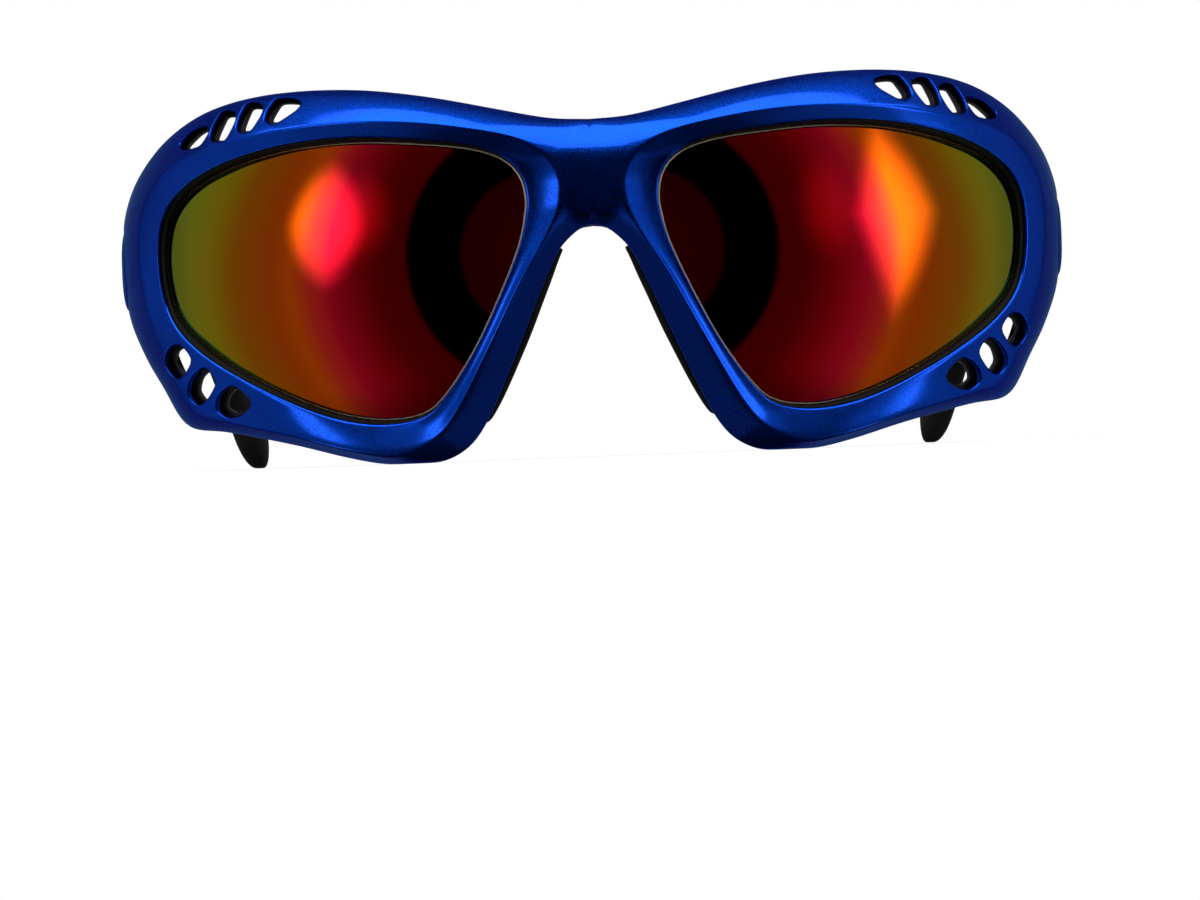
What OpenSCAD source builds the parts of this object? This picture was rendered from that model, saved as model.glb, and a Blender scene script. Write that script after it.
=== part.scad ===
// Wraparound sports sunglasses with a vented front, open temples and folding hinges.
// X runs across the face, the front looks along -Y, and the part stands on Z = 0.

/* [Front] */
// Width of the front over its sides
front_w = 145.2; // [138:0.2:147]
// Height of the front from the brow to the lower rim
front_h = 55.5; // [52:0.5:59]
// Radius of the lenses' front faces
lens_radius = 68; // [68:0.5:72]
// Angle that the front has turned through at its rear edge
wrap_angle = 72.5; // [72:0.5:75]
// Height of the lens ball's centre above the middle of the lenses, which tilts them down
lens_tilt_rise = 5; // [2:0.5:8]
// Thickness of the blue shell
shell_wall = 1.8; // [1.5:0.1:2.1]
// How far the liner's rear face lies behind the lenses' front faces
liner_depth = 4.4; // [4.2:0.1:5.4]
// The same behind the vents, where the liner is thin
liner_waist = 1.5; // [1.4:0.1:3]
// Gap between pieces that lie against each other
seat_gap = 0.1; // [0.08:0.01:0.14]
// Radius of the vents' corners
vent_corner = 0.6; // [0.4:0.05:0.8]
// Angle that the lower vents lean towards the nose as they run back, twice the upper ones'
vent_lean = 16; // [10:1:24]

/* [Lenses] */
// Thickness of a lens
lens_t = 2; // [1.6:0.1:2.2]
// How far a lens's edge reaches outside the shell's opening
lens_reach = 0.8; // [0.5:0.1:0.9]
// Width of the seal outside the shell's opening
seal_w = 1.4; // [1.2:0.05:1.5]
// Thickness of the seal in front of the lens and behind it
seal_lip = 1.3; // [1.1:0.05:1.4]
// Width of black seal that shows beside the temple
seal_show = 0.5; // [0.3:0.1:1.8]
// Thickness of the shell's lip in front of the seal
lip_t = 0.6; // [0.4:0.05:0.7]

/* [Nose] */
// How far a nose pad stands out beyond the shell's edge
pad_out = 2.4; // [1.6:0.1:2.8]
// How far a nose pad reaches behind the lenses' front faces
pad_depth = 11; // [9:0.5:13]

/* [Hinges] */
// Distance from the front's rear edge back to the hinge axis
hinge_reach = 2.7; // [2.5:0.1:3.2]
// Distance from the temple's outer face in to the hinge axis
hinge_inset = 3.6; // [3.5:0.1:4]
// Outer radius of the hinge's knuckles
knuckle_r = 1.6; // [1.4:0.05:1.65]
// Radius of the hinge screw's shank
screw_r = 0.7; // [0.6:0.05:0.8]
// Gap round the hinge screw's shank
screw_gap = 0.05; // [0.03:0.01:0.08]
// Height of one ear of the hinge fork
ear_h = 2.4; // [2.2:0.1:2.8]
// Height of the tongue between the ears
tongue_h = 3.6; // [3:0.1:4.2]
// Length of the tongue's leaf in the temple, from the hinge axis
leaf_l = 13; // [11:0.5:16]

/* [Temples] */
// Length of a temple from the hinge axis to its tip
temple_l = 118; // [108:1:128]
// Height of a temple at the hinge
temple_h = 12.6; // [12:0.2:13]
// Height of a temple in the middle
temple_mid_h = 8; // [7:0.5:10]
// Thickness of a temple
temple_t = 4.4; // [4:0.1:4.6]
// Length of the rounded nose that laps over the front
nose_l = 7; // [5:0.5:8]
// Thickness of that nose
nose_t = 1.4; // [1.2:0.1:1.5]
// Distance from the hinge axis to where the temple bends down
bend_at = 58; // [50:1:64]
// How far a temple bows in towards the head
tip_bow = 9; // [6:0.5:11]
// Length of the rubber sleeve on the tip
sleeve_l = 48; // [40:1:54]
// Height of the sleeve
sleeve_h = 9; // [8:0.5:10]
// Thickness of the sleeve
sleeve_t = 6; // [5.4:0.1:6.4]
// Length of the rubber grip inside a temple
grip_l = 34; // [24:1:36]

/* [Hidden] */

right_side = 1;
left_side = -1;

// Size that the outlines are drawn at, which front_w and front_h scale
ku = front_w / 145.2;
kv = front_h / 55.5;

// Half the width of the middle of the front, which isn't curved sideways
flat_half = front_w / 2 - lens_radius * sin(wrap_angle);
// How deep the flats are that the part stands on
rest_cut = 0.35;
// Height of the middle of the lenses above the surface that the part stands on
mid_z = 26.3 * kv - rest_cut;

// Plane where the two halves of the front overlap
seam = -0.1;
// Sections round the right-hand lens, from the brow outwards and back up the nose.
// Each has the opening's edge, the ridge, the shoulder and the outer edge, as
// [across, up, height above the ball that the lens's front face lies on].
sections = [
    // Brow
    [[11.9, 16.9, 2.1], [7.4, 17.9, 3.4], [2.2, 21.0, 2.2], [seam, 22.6, -0.2]],
    [[14.2, 18.3, 2.1], [11.5, 20.1, 3.6], [7.0, 22.2, 2.0], [6.0, 23.0, -0.2]],
    [[18.5, 19.6, 2.1], [17.0, 21.5, 3.6], [14.0, 23.8, 1.9], [13.3, 24.6, -0.2]],
    [[25.5, 20.6, 2.1], [24.8, 22.8, 3.5], [24.0, 26.1, 1.8], [23.6, 27.0, -0.2]],
    [[34.0, 21.4, 2.1], [33.8, 23.5, 3.4], [34.0, 27.7, 1.6], [34.0, 28.7, -0.2]],
    [[42.5, 21.3, 2.1], [43.0, 23.4, 3.1], [44.6, 28.3, 1.3], [44.8, 29.2, -0.2]],
    [[49.3, 20.4, 2.1], [50.8, 22.5, 2.9], [53.2, 27.5, 1.0], [53.8, 28.4, -0.3]],
    [[55.2, 18.9, 2.1], [57.6, 21.2, 2.7], [59.8, 25.2, 0.9], [60.6, 26.2, -0.3]],
    // Temple side
    [[60.3, 16.4, 2.1], [63.3, 19.2, 2.5], [65.6, 21.4, 0.8], [66.4, 22.2, -0.3]],
    [[63.7, 12.5, 2.1], [67.2, 14.6, 2.2], [69.8, 15.9, 0.8], [70.8, 16.4, -0.3]],
    [[64.7, 7.0, 2.1], [68.4, 8.2, 2.0], [71.5, 8.5, 0.8], [72.5, 8.6, -0.2]],
    [[64.2, 0.6, 2.1], [67.6, -0.2, 2.0], [70.6, -0.8, 0.8], [71.6, -1.0, -0.2]],
    [[62.6, -4.0, 2.1], [65.6, -6.4, 2.0], [68.2, -7.3, 1.0], [69.1, -7.6, -0.3]],
    [[59.4, -7.8, 2.1], [63.4, -11.9, 2.2], [65.2, -12.6, 1.2], [66.0, -13.0, -0.4]],
    // Lower rim
    [[55.6, -10.7, 2.1], [60.4, -17.0, 2.3], [61.7, -18.2, 1.2], [62.2, -19.0, -0.4]],
    [[50.4, -13.8, 2.1], [55.0, -18.7, 2.4], [55.2, -19.7, 1.2], [55.3, -20.3, -0.4]],
    [[43.5, -17.2, 2.1], [45.2, -21.2, 2.8], [45.0, -22.0, 1.2], [45.0, -22.6, -0.4]],
    [[37.5, -19.3, 2.1], [37.0, -23.6, 3.1], [36.7, -24.3, 1.3], [36.6, -24.9, -0.4]],
    [[31.5, -20.2, 2.1], [30.0, -24.8, 3.2], [29.4, -25.6, 1.4], [29.0, -26.3, -0.4]],
    [[26.0, -19.5, 2.1], [24.2, -22.8, 3.2], [23.4, -24.6, 1.4], [22.6, -25.8, -0.6]],
    // Up the nose
    [[22.4, -16.8, 2.1], [20.4, -18.4, 3.2], [18.9, -20.6, 1.3], [17.3, -22.0, -1.0]],
    [[17.6, -10.0, 2.1], [15.4, -9.4, 3.2], [13.6, -10.2, 1.1], [11.8, -10.9, -1.6]],
    [[13.2, -1.4, 2.1], [10.7, -0.6, 3.2], [9.1, -1.0, 1.1], [7.6, -1.4, -1.6]],
    [[10.6, 4.8, 2.1], [7.2, 5.0, 3.1], [5.9, 4.4, 1.3], [4.8, 4.2, -1.3]],
    [[9.6, 9.0, 2.1], [5.2, 9.0, 3.0], [3.7, 7.8, 1.4], [2.3, 6.8, -0.9]],
    // Bridge
    [[9.4, 11.4, 2.1], [4.6, 11.3, 3.0], [2.3, 9.6, 1.5], [seam, 7.4, -0.7]],
    [[9.8, 13.8, 2.1], [4.6, 13.8, 3.0], [2.2, 13.2, 2.1], [seam, 12.6, 1.8]],
    [[10.7, 15.6, 2.1], [5.8, 16.4, 3.3], [2.3, 18.4, 2.95], [seam, 19.6, 2.9]]
];
steps_between = 3;
opening = 0;
ridge = 1;
shoulder = 2;
outer_edge = 3;

// Corners of the vents over and under the right-hand lens, as [across, up]
upper_vents = [
    [[41.9, 27.3], [45.3, 27.7], [46.9, 25.2], [45.9, 24.9]],
    [[48.0, 27.2], [49.9, 27.5], [51.3, 24.2], [50.0, 24.1]],
    [[52.3, 26.5], [53.9, 26.7], [55.6, 23.2], [54.0, 23.1]],
    [[56.5, 25.3], [57.5, 25.2], [60.4, 23.0], [60.2, 22.5], [58.0, 22.9]]
];
lower_vents = [
    [[62.5, -7.3], [61.0, -9.3], [62.7, -11.6], [64.1, -9.5], [63.9, -8.1]],
    [[58.4, -11.0], [57.2, -12.8], [59.4, -15.7], [60.6, -14.0], [59.7, -11.8]],
    [[54.1, -13.9], [51.8, -16.0], [52.2, -17.1], [54.7, -17.6], [56.1, -16.6], [55.4, -14.6]]
];
// Height where the corners lie, and how far a vent's cut runs before and behind it
vent_height = 1.5;
vent_front = 5;
vent_back = 14;
// Ways that the upper and the lower vents run back
vent_ways = [[-tan(vent_lean) / 2, 1, -0.05], [-tan(vent_lean), 1, 0.06]];

function unit(a) = a / norm(a);
function wrap(i, n) = (i + n) % n;
// Curve through four points that runs from b to c
function bend(a, b, c, d, t) = 0.5 * (2 * b + (c - a) * t
    + (2 * a - 5 * b + 4 * c - d) * t * t + (3 * b - a - 3 * c + d) * t * t * t);

// A drawn point's place in space
function on_ball(p) = let (u = p[0] * ku, v = p[1] * kv, a = max(0, u - flat_half))
    [u, lens_radius - sqrt(pow(lens_radius + p[2], 2) - a * a - pow(v - lens_tilt_rise, 2)), v];
// Direction out of the ball at a point
function out_of_ball(p) = unit(p - [min(p[0], flat_half), lens_radius, lens_tilt_rise]);
function raise(p, h) = p + h * out_of_ball(p);

section_count = len(sections);
station_count = section_count * steps_between;
function drawn(i, place) = let (
        s = floor(i / steps_between),
        t = (i % steps_between) / steps_between,
        p = bend(sections[wrap(s - 1, section_count)][place], sections[s][place],
            sections[wrap(s + 1, section_count)][place],
            sections[wrap(s + 2, section_count)][place], t))
    [max(seam, p[0]), p[1], p[2]];
// The four curves round the lens
curves = [for (place = [opening:outer_edge])
    [for (i = [0:station_count - 1]) on_ball(drawn(i, place))]];

// Height of the shell's opening above the ball
lip_rise = sections[0][opening][2];
function lens_curve(i) = raise(curves[opening][wrap(i, station_count)], -lip_rise);
function away_from_lens(i) = unit(cross(out_of_ball(lens_curve(i)),
    lens_curve(i + 1) - lens_curve(i - 1)));
// A point beside the opening: reach outside it, and height above the ball
function beside(i, reach, h) = raise(lens_curve(i) + reach * away_from_lens(i), h);

// Where the temples and the hinges lie
side_x = front_w / 2;
rear_y = on_ball([sections[10][outer_edge][0], sections[10][outer_edge][1], -0.2])[1];
hinge_x = side_x - hinge_inset;
hinge_y = rear_y + hinge_reach;
hinge_v = 5.4 * kv;
hinge_z = hinge_v + mid_z;

module place() translate([0, shift_y, mid_z]) children();
module on_side(side) mirror([side == left_side ? 1 : 0, 0, 0]) children();
// Moves a piece from the hinge axis to its place
module at_hinge() translate([hinge_x, hinge_y, hinge_v]) children();

// Closed rings of points joined into one solid. A loop closes on itself, and
// a bar has flat ends. Facing surfaces of two solids have their quads cut along
// the same diagonals, which is what crossed says.
function joined(rings, loop, crossed) = let (
        n = len(rings), k = len(rings[0]), last = loop ? n - 1 : n - 2)
    [for (i = [0:last], j = [0:k - 1]) let (
            a = i * k + j, b = i * k + (j + 1) % k,
            c = ((i + 1) % n) * k + (j + 1) % k, d = ((i + 1) % n) * k + j)
        each crossed ? [[a, b, d], [b, c, d]] : [[a, b, c], [a, c, d]]];
module lofted(rings, loop, crossed = false) {
    n = len(rings);
    k = len(rings[0]);
    ends = loop ? [] : [[for (j = [k - 1:-1:0]) j], [for (j = [0:k - 1]) (n - 1) * k + j]];
    polyhedron([for (r = rings) each r], concat(joined(rings, loop, crossed), ends));
}

module below_rest() translate([-100, -150, -20 - mid_z]) cube([200, 400, 20]);

// Cuts for the vents, which lean in towards the nose and a little towards the lens
module vent_cuts() {
    for (side = [left_side, right_side], group = [0, 1]) {
        lean = unit(vent_ways[group]);
        for (corners = group == 0 ? upper_vents : lower_vents)
            on_side(side) hull()
                for (c = corners, run = [-vent_front, vent_back])
                    translate(on_ball([c[0], c[1], vent_height]) + run * lean)
                        sphere(vent_corner, $fn = 10);
    }
}

// Cut for the temple's nose in the side of the shell
module nose_cut() {
    at_hinge() rotate([90, 0, 90]) translate([0, 0, -2 * knuckle_r])
        linear_extrude(12) nose_outline(0.3);
}
nose_back = -hinge_reach - 0.5;
function nose_half_h(back, grow) = let (r = (nose_back - back) / (nose_l + grow))
    back >= nose_back ? temple_h / 2 + grow : (temple_h / 2 + grow) * sqrt(max(0, 1 - r * r));
module nose_outline(grow) {
    turns = 8;
    end = nose_back + 12;
    up = [for (i = [0:turns]) let (b = nose_back - (nose_l + grow) * cos(90 * i / turns))
        [b, nose_half_h(b, grow)]];
    polygon(concat(up, [[end, temple_h / 2 + grow], [end, -temple_h / 2 - grow]],
        [for (i = [turns:-1:1]) [up[i][0], -up[i][1]]]));
}

// Section of the shell: lip, ridge, shoulder and outer edge, then back inside
function shell_ring(i) = let (o = curves[outer_edge][i], s = curves[shoulder][i], r = curves[ridge][i])
    [curves[opening][i], r, s, o,
        raise(o, -shell_wall), raise(s, -shell_wall), raise(r, -shell_wall),
        beside(i, seal_w, lip_rise - lip_t), beside(i, 0, lip_rise - lip_t)];
module shell_half() lofted([for (i = [0:station_count - 1]) shell_ring(i)], true);
module front_shell() {
    color("#1030c8") place() difference() {
        union() for (side = [left_side, right_side]) on_side(side) shell_half();
        vent_cuts();
        for (side = [left_side, right_side]) on_side(side) nose_cut();
        translate([-100, rear_y, -40]) cube([200, 20, 80]);
        below_rest();
    }
}

// Section of the liner: under the shell, round the outer edge, over the thin part
// behind the vents, and back round the channel that holds the seal
liner_inset = 0.4;
channel_wall = 1;
// Shares of the thin part's depth at each place along the rim: none at the nose and the bridge
thin_from = [1, 3];
thin_to = [16, 18.5];
function ramp(x, ends) = let (t = max(0, min(1, (x - ends[0]) / (ends[1] - ends[0])))) t * t * (3 - 2 * t);
function thinness(i) = ramp(i / steps_between, thin_from) * (1 - ramp(i / steps_between, thin_to));
function liner_rear(i, thin) = -liner_depth + thin * thinness(i) * (liner_depth - liner_waist);
function liner_edge(i) = let (o = curves[outer_edge][i], s = curves[shoulder][i])
    o[0] <= seam * ku + 0.01 ? o : o + liner_inset * unit(s - o);
function liner_ring(i) = let (
        e = liner_edge(i), under = shell_wall + seat_gap,
        m = (curves[ridge][i] + 2 * curves[outer_edge][i]) / 3)
    [beside(i, seal_w + seat_gap, lip_rise - lip_t - seat_gap),
        raise(curves[ridge][i], -under), raise(curves[shoulder][i], -under), raise(e, -under),
        to_height(e, -liner_depth + 0.5), to_height(m, liner_rear(i, 0.7)),
        beside(i, seal_w + seat_gap + channel_wall + 0.1, liner_rear(i, 1)),
        beside(i, seal_w + seat_gap + channel_wall, -liner_depth),
        beside(i, seal_w + seat_gap, -liner_depth),
        beside(i, 0.4, -liner_depth), beside(i, 0.2, -lens_t - seal_lip - seat_gap),
        beside(i, seal_w + seat_gap, -lens_t - seal_lip - seat_gap)];
function height_of(p) = norm(p - [min(p[0], flat_half), lens_radius, lens_tilt_rise]) - lens_radius;
function to_height(p, h) = raise(p, h - height_of(p));
module liner_half() lofted([for (i = [0:station_count - 1]) liner_ring(i)], true, true);
module front_liner() {
    color("#101014") place() difference() {
        union() for (side = [left_side, right_side]) on_side(side) {
            liner_half();
            at_hinge() translate([-knuckle_r - 1, -hinge_reach - lug_l, -lug_h / 2])
                cube([knuckle_r + 2, lug_l, lug_h]);
        }
        vent_cuts();
        translate([-100, rear_y, -40]) cube([200, 20, 80]);
        for (side = [left_side, right_side])
            on_side(side) at_hinge() fork_anchor(seat_gap);
        below_rest();
    }
}
lug_l = 4;
lug_h = tongue_h + 2 * ear_h + 1.6;
module fork_anchor(grow) {
    translate([-anchor_t / 2 - grow, -hinge_reach - anchor_l - grow, -anchor_h / 2 - grow])
        cube([anchor_t + 2 * grow, anchor_l + 2 * grow, anchor_h + 2 * grow]);
}
anchor_t = 1.2;
anchor_l = 2.6;
anchor_h = 6;

// Lenses: part of a ball's shell, cut square to its face all round
module lens(side) {
    color("#b43a10") place() on_side(side) intersection() {
        difference() {
            lens_ball(0);
            lens_ball(-lens_t);
        }
        lens_cut();
    }
}
module lens_ball(h) translate([flat_half, lens_radius, lens_tilt_rise]) sphere(lens_radius + h, $fn = 200);
module lens_cut() {
    n = station_count;
    polyhedron(
        concat([for (i = [0:n - 1]) beside(i, lens_reach, 0.3 * lens_radius)],
            [for (i = [0:n - 1]) beside(i, lens_reach, -0.8 * lens_radius)]),
        concat([[for (i = [n - 1:-1:0]) i], [for (i = [0:n - 1]) n + i]],
            [for (i = [0:n - 1]) each [
                [i, (i + 1) % n, n + (i + 1) % n],
                [i, n + (i + 1) % n, n + i]]]));
}

// Seal: a channel round the lens's edge, wider in front beside the temple
seal_clear = 0.05;
function seal_visible(i) = let (u = curves[opening][i][0] / ku)
    0.3 + (seal_show - 0.3) * pow(max(0, min(1, (u - 40) / 22)), 2) * (u > 40 ? 1 : 0);
function seal_ring(i) = let (top = min(lip_rise - lip_t - seal_clear, seal_lip), back = -lens_t - seal_lip)
    [beside(i, -seal_visible(i), seal_clear), beside(i, -seal_visible(i) + 0.2, 0.5),
        beside(i, -0.1, top), beside(i, seal_w, top), beside(i, seal_w, back), beside(i, -0.3, back),
        beside(i, -0.3, -lens_t - seal_clear), beside(i, lens_reach + seal_clear, -lens_t - seal_clear),
        beside(i, lens_reach + seal_clear, seal_clear)];
module lens_seal(side) {
    color("#141414") place() on_side(side)
        lofted([for (i = [0:station_count - 1]) seal_ring(i)], true);
}

// Nose pads: soft bars along the shell's edges beside the nose
pad_first = 20 * steps_between;
pad_last = 23 * steps_between;
function pad_ring(i) = let (
        o = curves[outer_edge][i], e = unit(o - curves[shoulder][i]) * [[1, 0, 0], [0, 0, 0], [0, 0, 1]],
        w = sin(180 * (i - pad_first + 1) / (pad_last - pad_first + 2)),
        out = pad_out * (0.35 + 0.65 * w), deep = liner_depth + (pad_depth - liner_depth) * (0.3 + 0.7 * w))
    [to_height(o + 0.1 * e, -liner_depth + 0.9), to_height(o + 0.7 * out * e, -liner_depth),
        to_height(o + out * e, -(liner_depth + deep) / 2), to_height(o + 0.6 * out * e, -deep),
        to_height(o - 2.4 * e, -deep), to_height(o - 3.4 * e, -(liner_depth + deep) / 2),
        to_height(o - 3.2 * e, -liner_depth - seat_gap), to_height(o + 0.05 * e, -liner_depth - seat_gap)];
module nose_pad(side) {
    color("#1a1a1a") place() on_side(side)
        lofted([for (i = [pad_first:pad_last]) pad_ring(i)], false);
}

// Hinge fork: two ears on a plate, with an anchor in the front's lug
module hinge_fork(side) {
    color("#8a8c90") place() on_side(side) at_hinge() difference() {
        union() {
            for (up = [-1, 1]) translate([0, 0, up * (tongue_h / 2 + ear_gap + ear_h / 2)])
                ear();
            translate([-knuckle_r, -hinge_reach, -fork_h / 2]) cube([2 * knuckle_r, plate_t, fork_h]);
            fork_anchor(0);
        }
        cylinder(h = fork_h + 2, r = screw_r + screw_gap, center = true, $fn = 48);
        translate([0, 0, fork_h / 2 - head_h]) cylinder(h = 2, r = head_r + screw_gap, $fn = 48);
    }
}
ear_gap = 0.1;
plate_t = 0.8;
fork_h = tongue_h + 2 * ear_gap + 2 * ear_h;
head_r = 1.15;
head_h = 0.7;
module ear() {
    cylinder(h = ear_h, r = knuckle_r, center = true, $fn = 48);
    translate([-knuckle_r, -hinge_reach, -ear_h / 2]) cube([2 * knuckle_r, hinge_reach, ear_h]);
}

// Hinge screw: a slotted head sunk in the upper ear
module hinge_screw(side) {
    color("#a6a8ac") place() on_side(side) at_hinge() difference() {
        union() {
            translate([0, 0, -fork_h / 2]) cylinder(h = fork_h - head_h, r = screw_r, $fn = 48);
            translate([0, 0, fork_h / 2 - head_h]) cylinder(h = head_h, r = head_r, $fn = 48);
        }
        translate([-0.15, -head_r, fork_h / 2 - 0.3]) cube([0.3, 2 * head_r, 1]);
    }
}

// Hinge tongue: a knuckle between the ears, with a leaf let into the temple
module hinge_tongue(side) {
    color("#8a8c90") place() on_side(side) at_hinge() difference() {
        union() {
            cylinder(h = tongue_h, r = knuckle_r, center = true, $fn = 48);
            translate([leaf_in, 0, -tongue_h / 2]) cube([leaf_t, leaf_l, tongue_h]);
        }
        cylinder(h = tongue_h + 2, r = screw_r + screw_gap, center = true, $fn = 48);
        leaf_holes() leaf_screw(screw_gap);
    }
}
leaf_in = hinge_inset - temple_t;
leaf_t = 1.4;
leaf_screw_r = 0.55;
leaf_screw_l = 3;
module leaf_holes() {
    for (back = [leaf_l - 6.5, leaf_l - 2.5])
        translate([leaf_in, back, 0]) rotate([0, 90, 0]) children();
}
// One screw of the leaf, with its head flush with the leaf's face
module leaf_screw(grow) {
    translate([0, 0, grow == 0 ? 0 : -1]) cylinder(h = 0.5 + (grow == 0 ? 0 : 1), r = 1 + grow, $fn = 32);
    cylinder(h = leaf_screw_l + grow, r = leaf_screw_r + grow, $fn = 32);
}
module leaf_screws(side) {
    color("#a6a8ac") place() on_side(side) at_hinge() leaf_holes() leaf_screw(0);
}

// Temple: a nose that laps over the front, a tapering bar, and a core in the sleeve
sleeve_at = temple_l - sleeve_l;
core_h = 4.6;
core_t = 2.6;
core_stop = 6;
core_steps = 5;
body_at = knuckle_r + 0.35;
end_slope = 1.6;
// How far a tip's end lies below the hinge, so that it meets the plane the part stands on
tip_drop = hinge_z + rest_cut - sleeve_h * 0.17;
function smooth(t) = t <= 0 ? 0 : t >= 1 ? 1 : t * t * (3 - 2 * t);
function down(b) = b <= bend_at ? 0 : tip_drop * pow((b - bend_at) / (temple_l - bend_at), end_slope);
function outer_face(b) = hinge_inset
    - (b < -hinge_reach ? 0.036 * pow(b + hinge_reach, 2) : tip_bow * pow(max(0, b) / temple_l, 2));
// Middle line of the temple's bar
function bar_line(b) = [outer_face(b) - temple_t / 2, b, -down(b)];
function bar_up(b) = let (t = unit(bar_line(b + 0.5) - bar_line(b - 0.5))) unit(cross([1, 0, 0], t));
bar_sides = 12;
// Ring of a rounded bar: centre, half thickness and half height
function rounded_ring(c, up, half_t, half_h) = [for (j = [0:bar_sides - 1]) let (
        a = 360 * (j + 0.5) / bar_sides,
        x = sign(cos(a)) * pow(abs(cos(a)), 0.6), z = sign(sin(a)) * pow(abs(sin(a)), 0.6))
    c + [x * half_t, 0, 0] + up * z * half_h];
function bar_half_h(b) = (temple_h + (temple_mid_h - temple_h) * smooth(b / (bend_at - 8))) / 2;
nose_steps = 6;
function nose_ring(b, h) = rounded_ring([outer_face(b) - nose_t / 2, b, 0], [0, 0, 1], nose_t / 2, h);
temple_rings = concat(
    [for (i = [0:nose_steps]) let (b = nose_back - nose_l * cos(90 * i / nose_steps) * 0.995)
        nose_ring(b, nose_half_h(b, 0))],
    [nose_ring(body_at, temple_h / 2)],
    [for (b = [body_at + 0.02, 10, 20, 30, 40, 50, bend_at, sleeve_at])
        rounded_ring(bar_line(b), bar_up(b), temple_t / 2, bar_half_h(b))],
    core_rings(0.02, 0, 0)
);
// Rings of the core in the sleeve, or of the sleeve's pocket round it
function core_rings(start, stop, grow) = [for (i = [0:core_steps]) let (
        t = i / core_steps,
        b = sleeve_at + (temple_l - core_stop - sleeve_at) * t + start * (1 - t) + stop * t)
    rounded_ring(bar_line(b), bar_up(b), core_t / 2 + grow, core_h / 2 + grow)];
module temple(side) {
    color("#1030c8") place() on_side(side) at_hinge() difference() {
        lofted(temple_rings, false);
        translate([leaf_in - 1, body_at - 1, -tongue_h / 2 - seat_gap])
            cube([leaf_t + 1 + seat_gap, leaf_l - body_at + 1 + seat_gap, tongue_h + 2 * seat_gap]);
        leaf_holes() cylinder(h = leaf_screw_l + seat_gap, r = leaf_screw_r + screw_gap, $fn = 32);
        grip_recess(seat_gap);
    }
}

// Rubber grip let into the inner face of the temple
grip_at = 22;
grip_h = 5;
grip_t = 1.6;
grip_deep = 1;
module grip_recess(grow) {
    c = (bar_line(grip_at) + bar_line(grip_at + grip_l)) / 2;
    lean = atan((outer_face(grip_at) - outer_face(grip_at + grip_l)) / grip_l);
    translate(c - [temple_t / 2 - grip_deep - grow, 0, 0]) rotate([0, 0, lean]) rotate([0, -90, 0])
        linear_extrude(grip_t + 2 * grow) hull() for (end = [-1, 1])
            translate([0, end * (grip_l - grip_h) / 2]) circle(grip_h / 2 + grow, $fn = 32);
}
module temple_grip(side) {
    color("#1a1a1a") place() on_side(side) at_hinge() grip_recess(0);
}

// Rubber sleeve on the tip
tip_sizes = [[0, 0.78], [0.06, 0.96], [0.3, 1], [0.6, 1], [0.85, 0.98], [0.95, 0.8], [1, 0.45]];
tip_steps = 14;
tip_rings = [for (i = [0:tip_steps]) let (
        t = i / tip_steps, b = sleeve_at + seat_gap + (sleeve_l - seat_gap) * t,
        k = lookup(t, tip_sizes))
    rounded_ring(bar_line(b), bar_up(b), k * sleeve_t / 2, k * sleeve_h / 2)];
// Distance that centres the part on the origin, front to back
front_y = min([for (c = curves, p = c) p[1]]);
shift_y = -(front_y + hinge_y + max([for (r = tip_rings, p = r) p[1]])) / 2;
module temple_tip(side) {
    color("#1a1a1a") place() difference() {
        on_side(side) at_hinge() difference() {
            lofted(tip_rings, false);
            lofted(core_rings(-0.2, 1, seat_gap), false);
        }
        below_rest();
    }
}

front_shell();
front_liner();
lens(left_side);  // lens_left
lens(right_side);  // lens_right
lens_seal(left_side);  // lens_seal_left
lens_seal(right_side);  // lens_seal_right
nose_pad(left_side);  // nose_pad_left
nose_pad(right_side);  // nose_pad_right
hinge_fork(left_side);  // hinge_fork_left
hinge_fork(right_side);  // hinge_fork_right
hinge_screw(left_side);  // hinge_screw_left
hinge_screw(right_side);  // hinge_screw_right
hinge_tongue(left_side);  // hinge_tongue_left
hinge_tongue(right_side);  // hinge_tongue_right
leaf_screws(left_side);  // leaf_screws_left
leaf_screws(right_side);  // leaf_screws_right
temple(left_side);  // temple_left
temple(right_side);  // temple_right
temple_grip(left_side);  // temple_grip_left
temple_grip(right_side);  // temple_grip_right
temple_tip(left_side);  // temple_tip_left
temple_tip(right_side);  // temple_tip_right
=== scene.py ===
"""Wraparound sports sunglasses: vented lacquered front, mirror lenses in seals, folding temples."""

import logging
import math
from dataclasses import dataclass, field
from enum import Enum
from typing import Callable, Sequence

import bmesh
import bpy
from bmesh.types import BMEdge, BMesh, BMFace, BMVert
from mathutils import Matrix, Vector


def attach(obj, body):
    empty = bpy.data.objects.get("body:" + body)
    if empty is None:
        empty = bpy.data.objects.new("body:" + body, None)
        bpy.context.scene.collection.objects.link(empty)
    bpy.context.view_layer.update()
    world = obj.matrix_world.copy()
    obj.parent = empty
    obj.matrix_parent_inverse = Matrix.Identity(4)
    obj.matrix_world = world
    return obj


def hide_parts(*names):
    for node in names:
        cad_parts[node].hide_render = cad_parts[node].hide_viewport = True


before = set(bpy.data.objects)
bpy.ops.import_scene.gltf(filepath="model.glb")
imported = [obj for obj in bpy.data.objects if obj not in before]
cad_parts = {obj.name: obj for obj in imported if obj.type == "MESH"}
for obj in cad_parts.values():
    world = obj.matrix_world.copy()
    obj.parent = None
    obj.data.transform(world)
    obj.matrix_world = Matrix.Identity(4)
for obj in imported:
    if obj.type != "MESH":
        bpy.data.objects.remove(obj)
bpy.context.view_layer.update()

MM = 0.001
log = logging.getLogger("sunglasses")

Pair = tuple[float, float]
Point = tuple[float, float, float]
Measure = Callable[[Vector], Pair]
Along = Callable[[float], float] | float
Grid = dict[tuple[int, int], BMVert]
Socket = bpy.types.NodeSocket
Feeds = dict[str | int, object]


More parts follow.
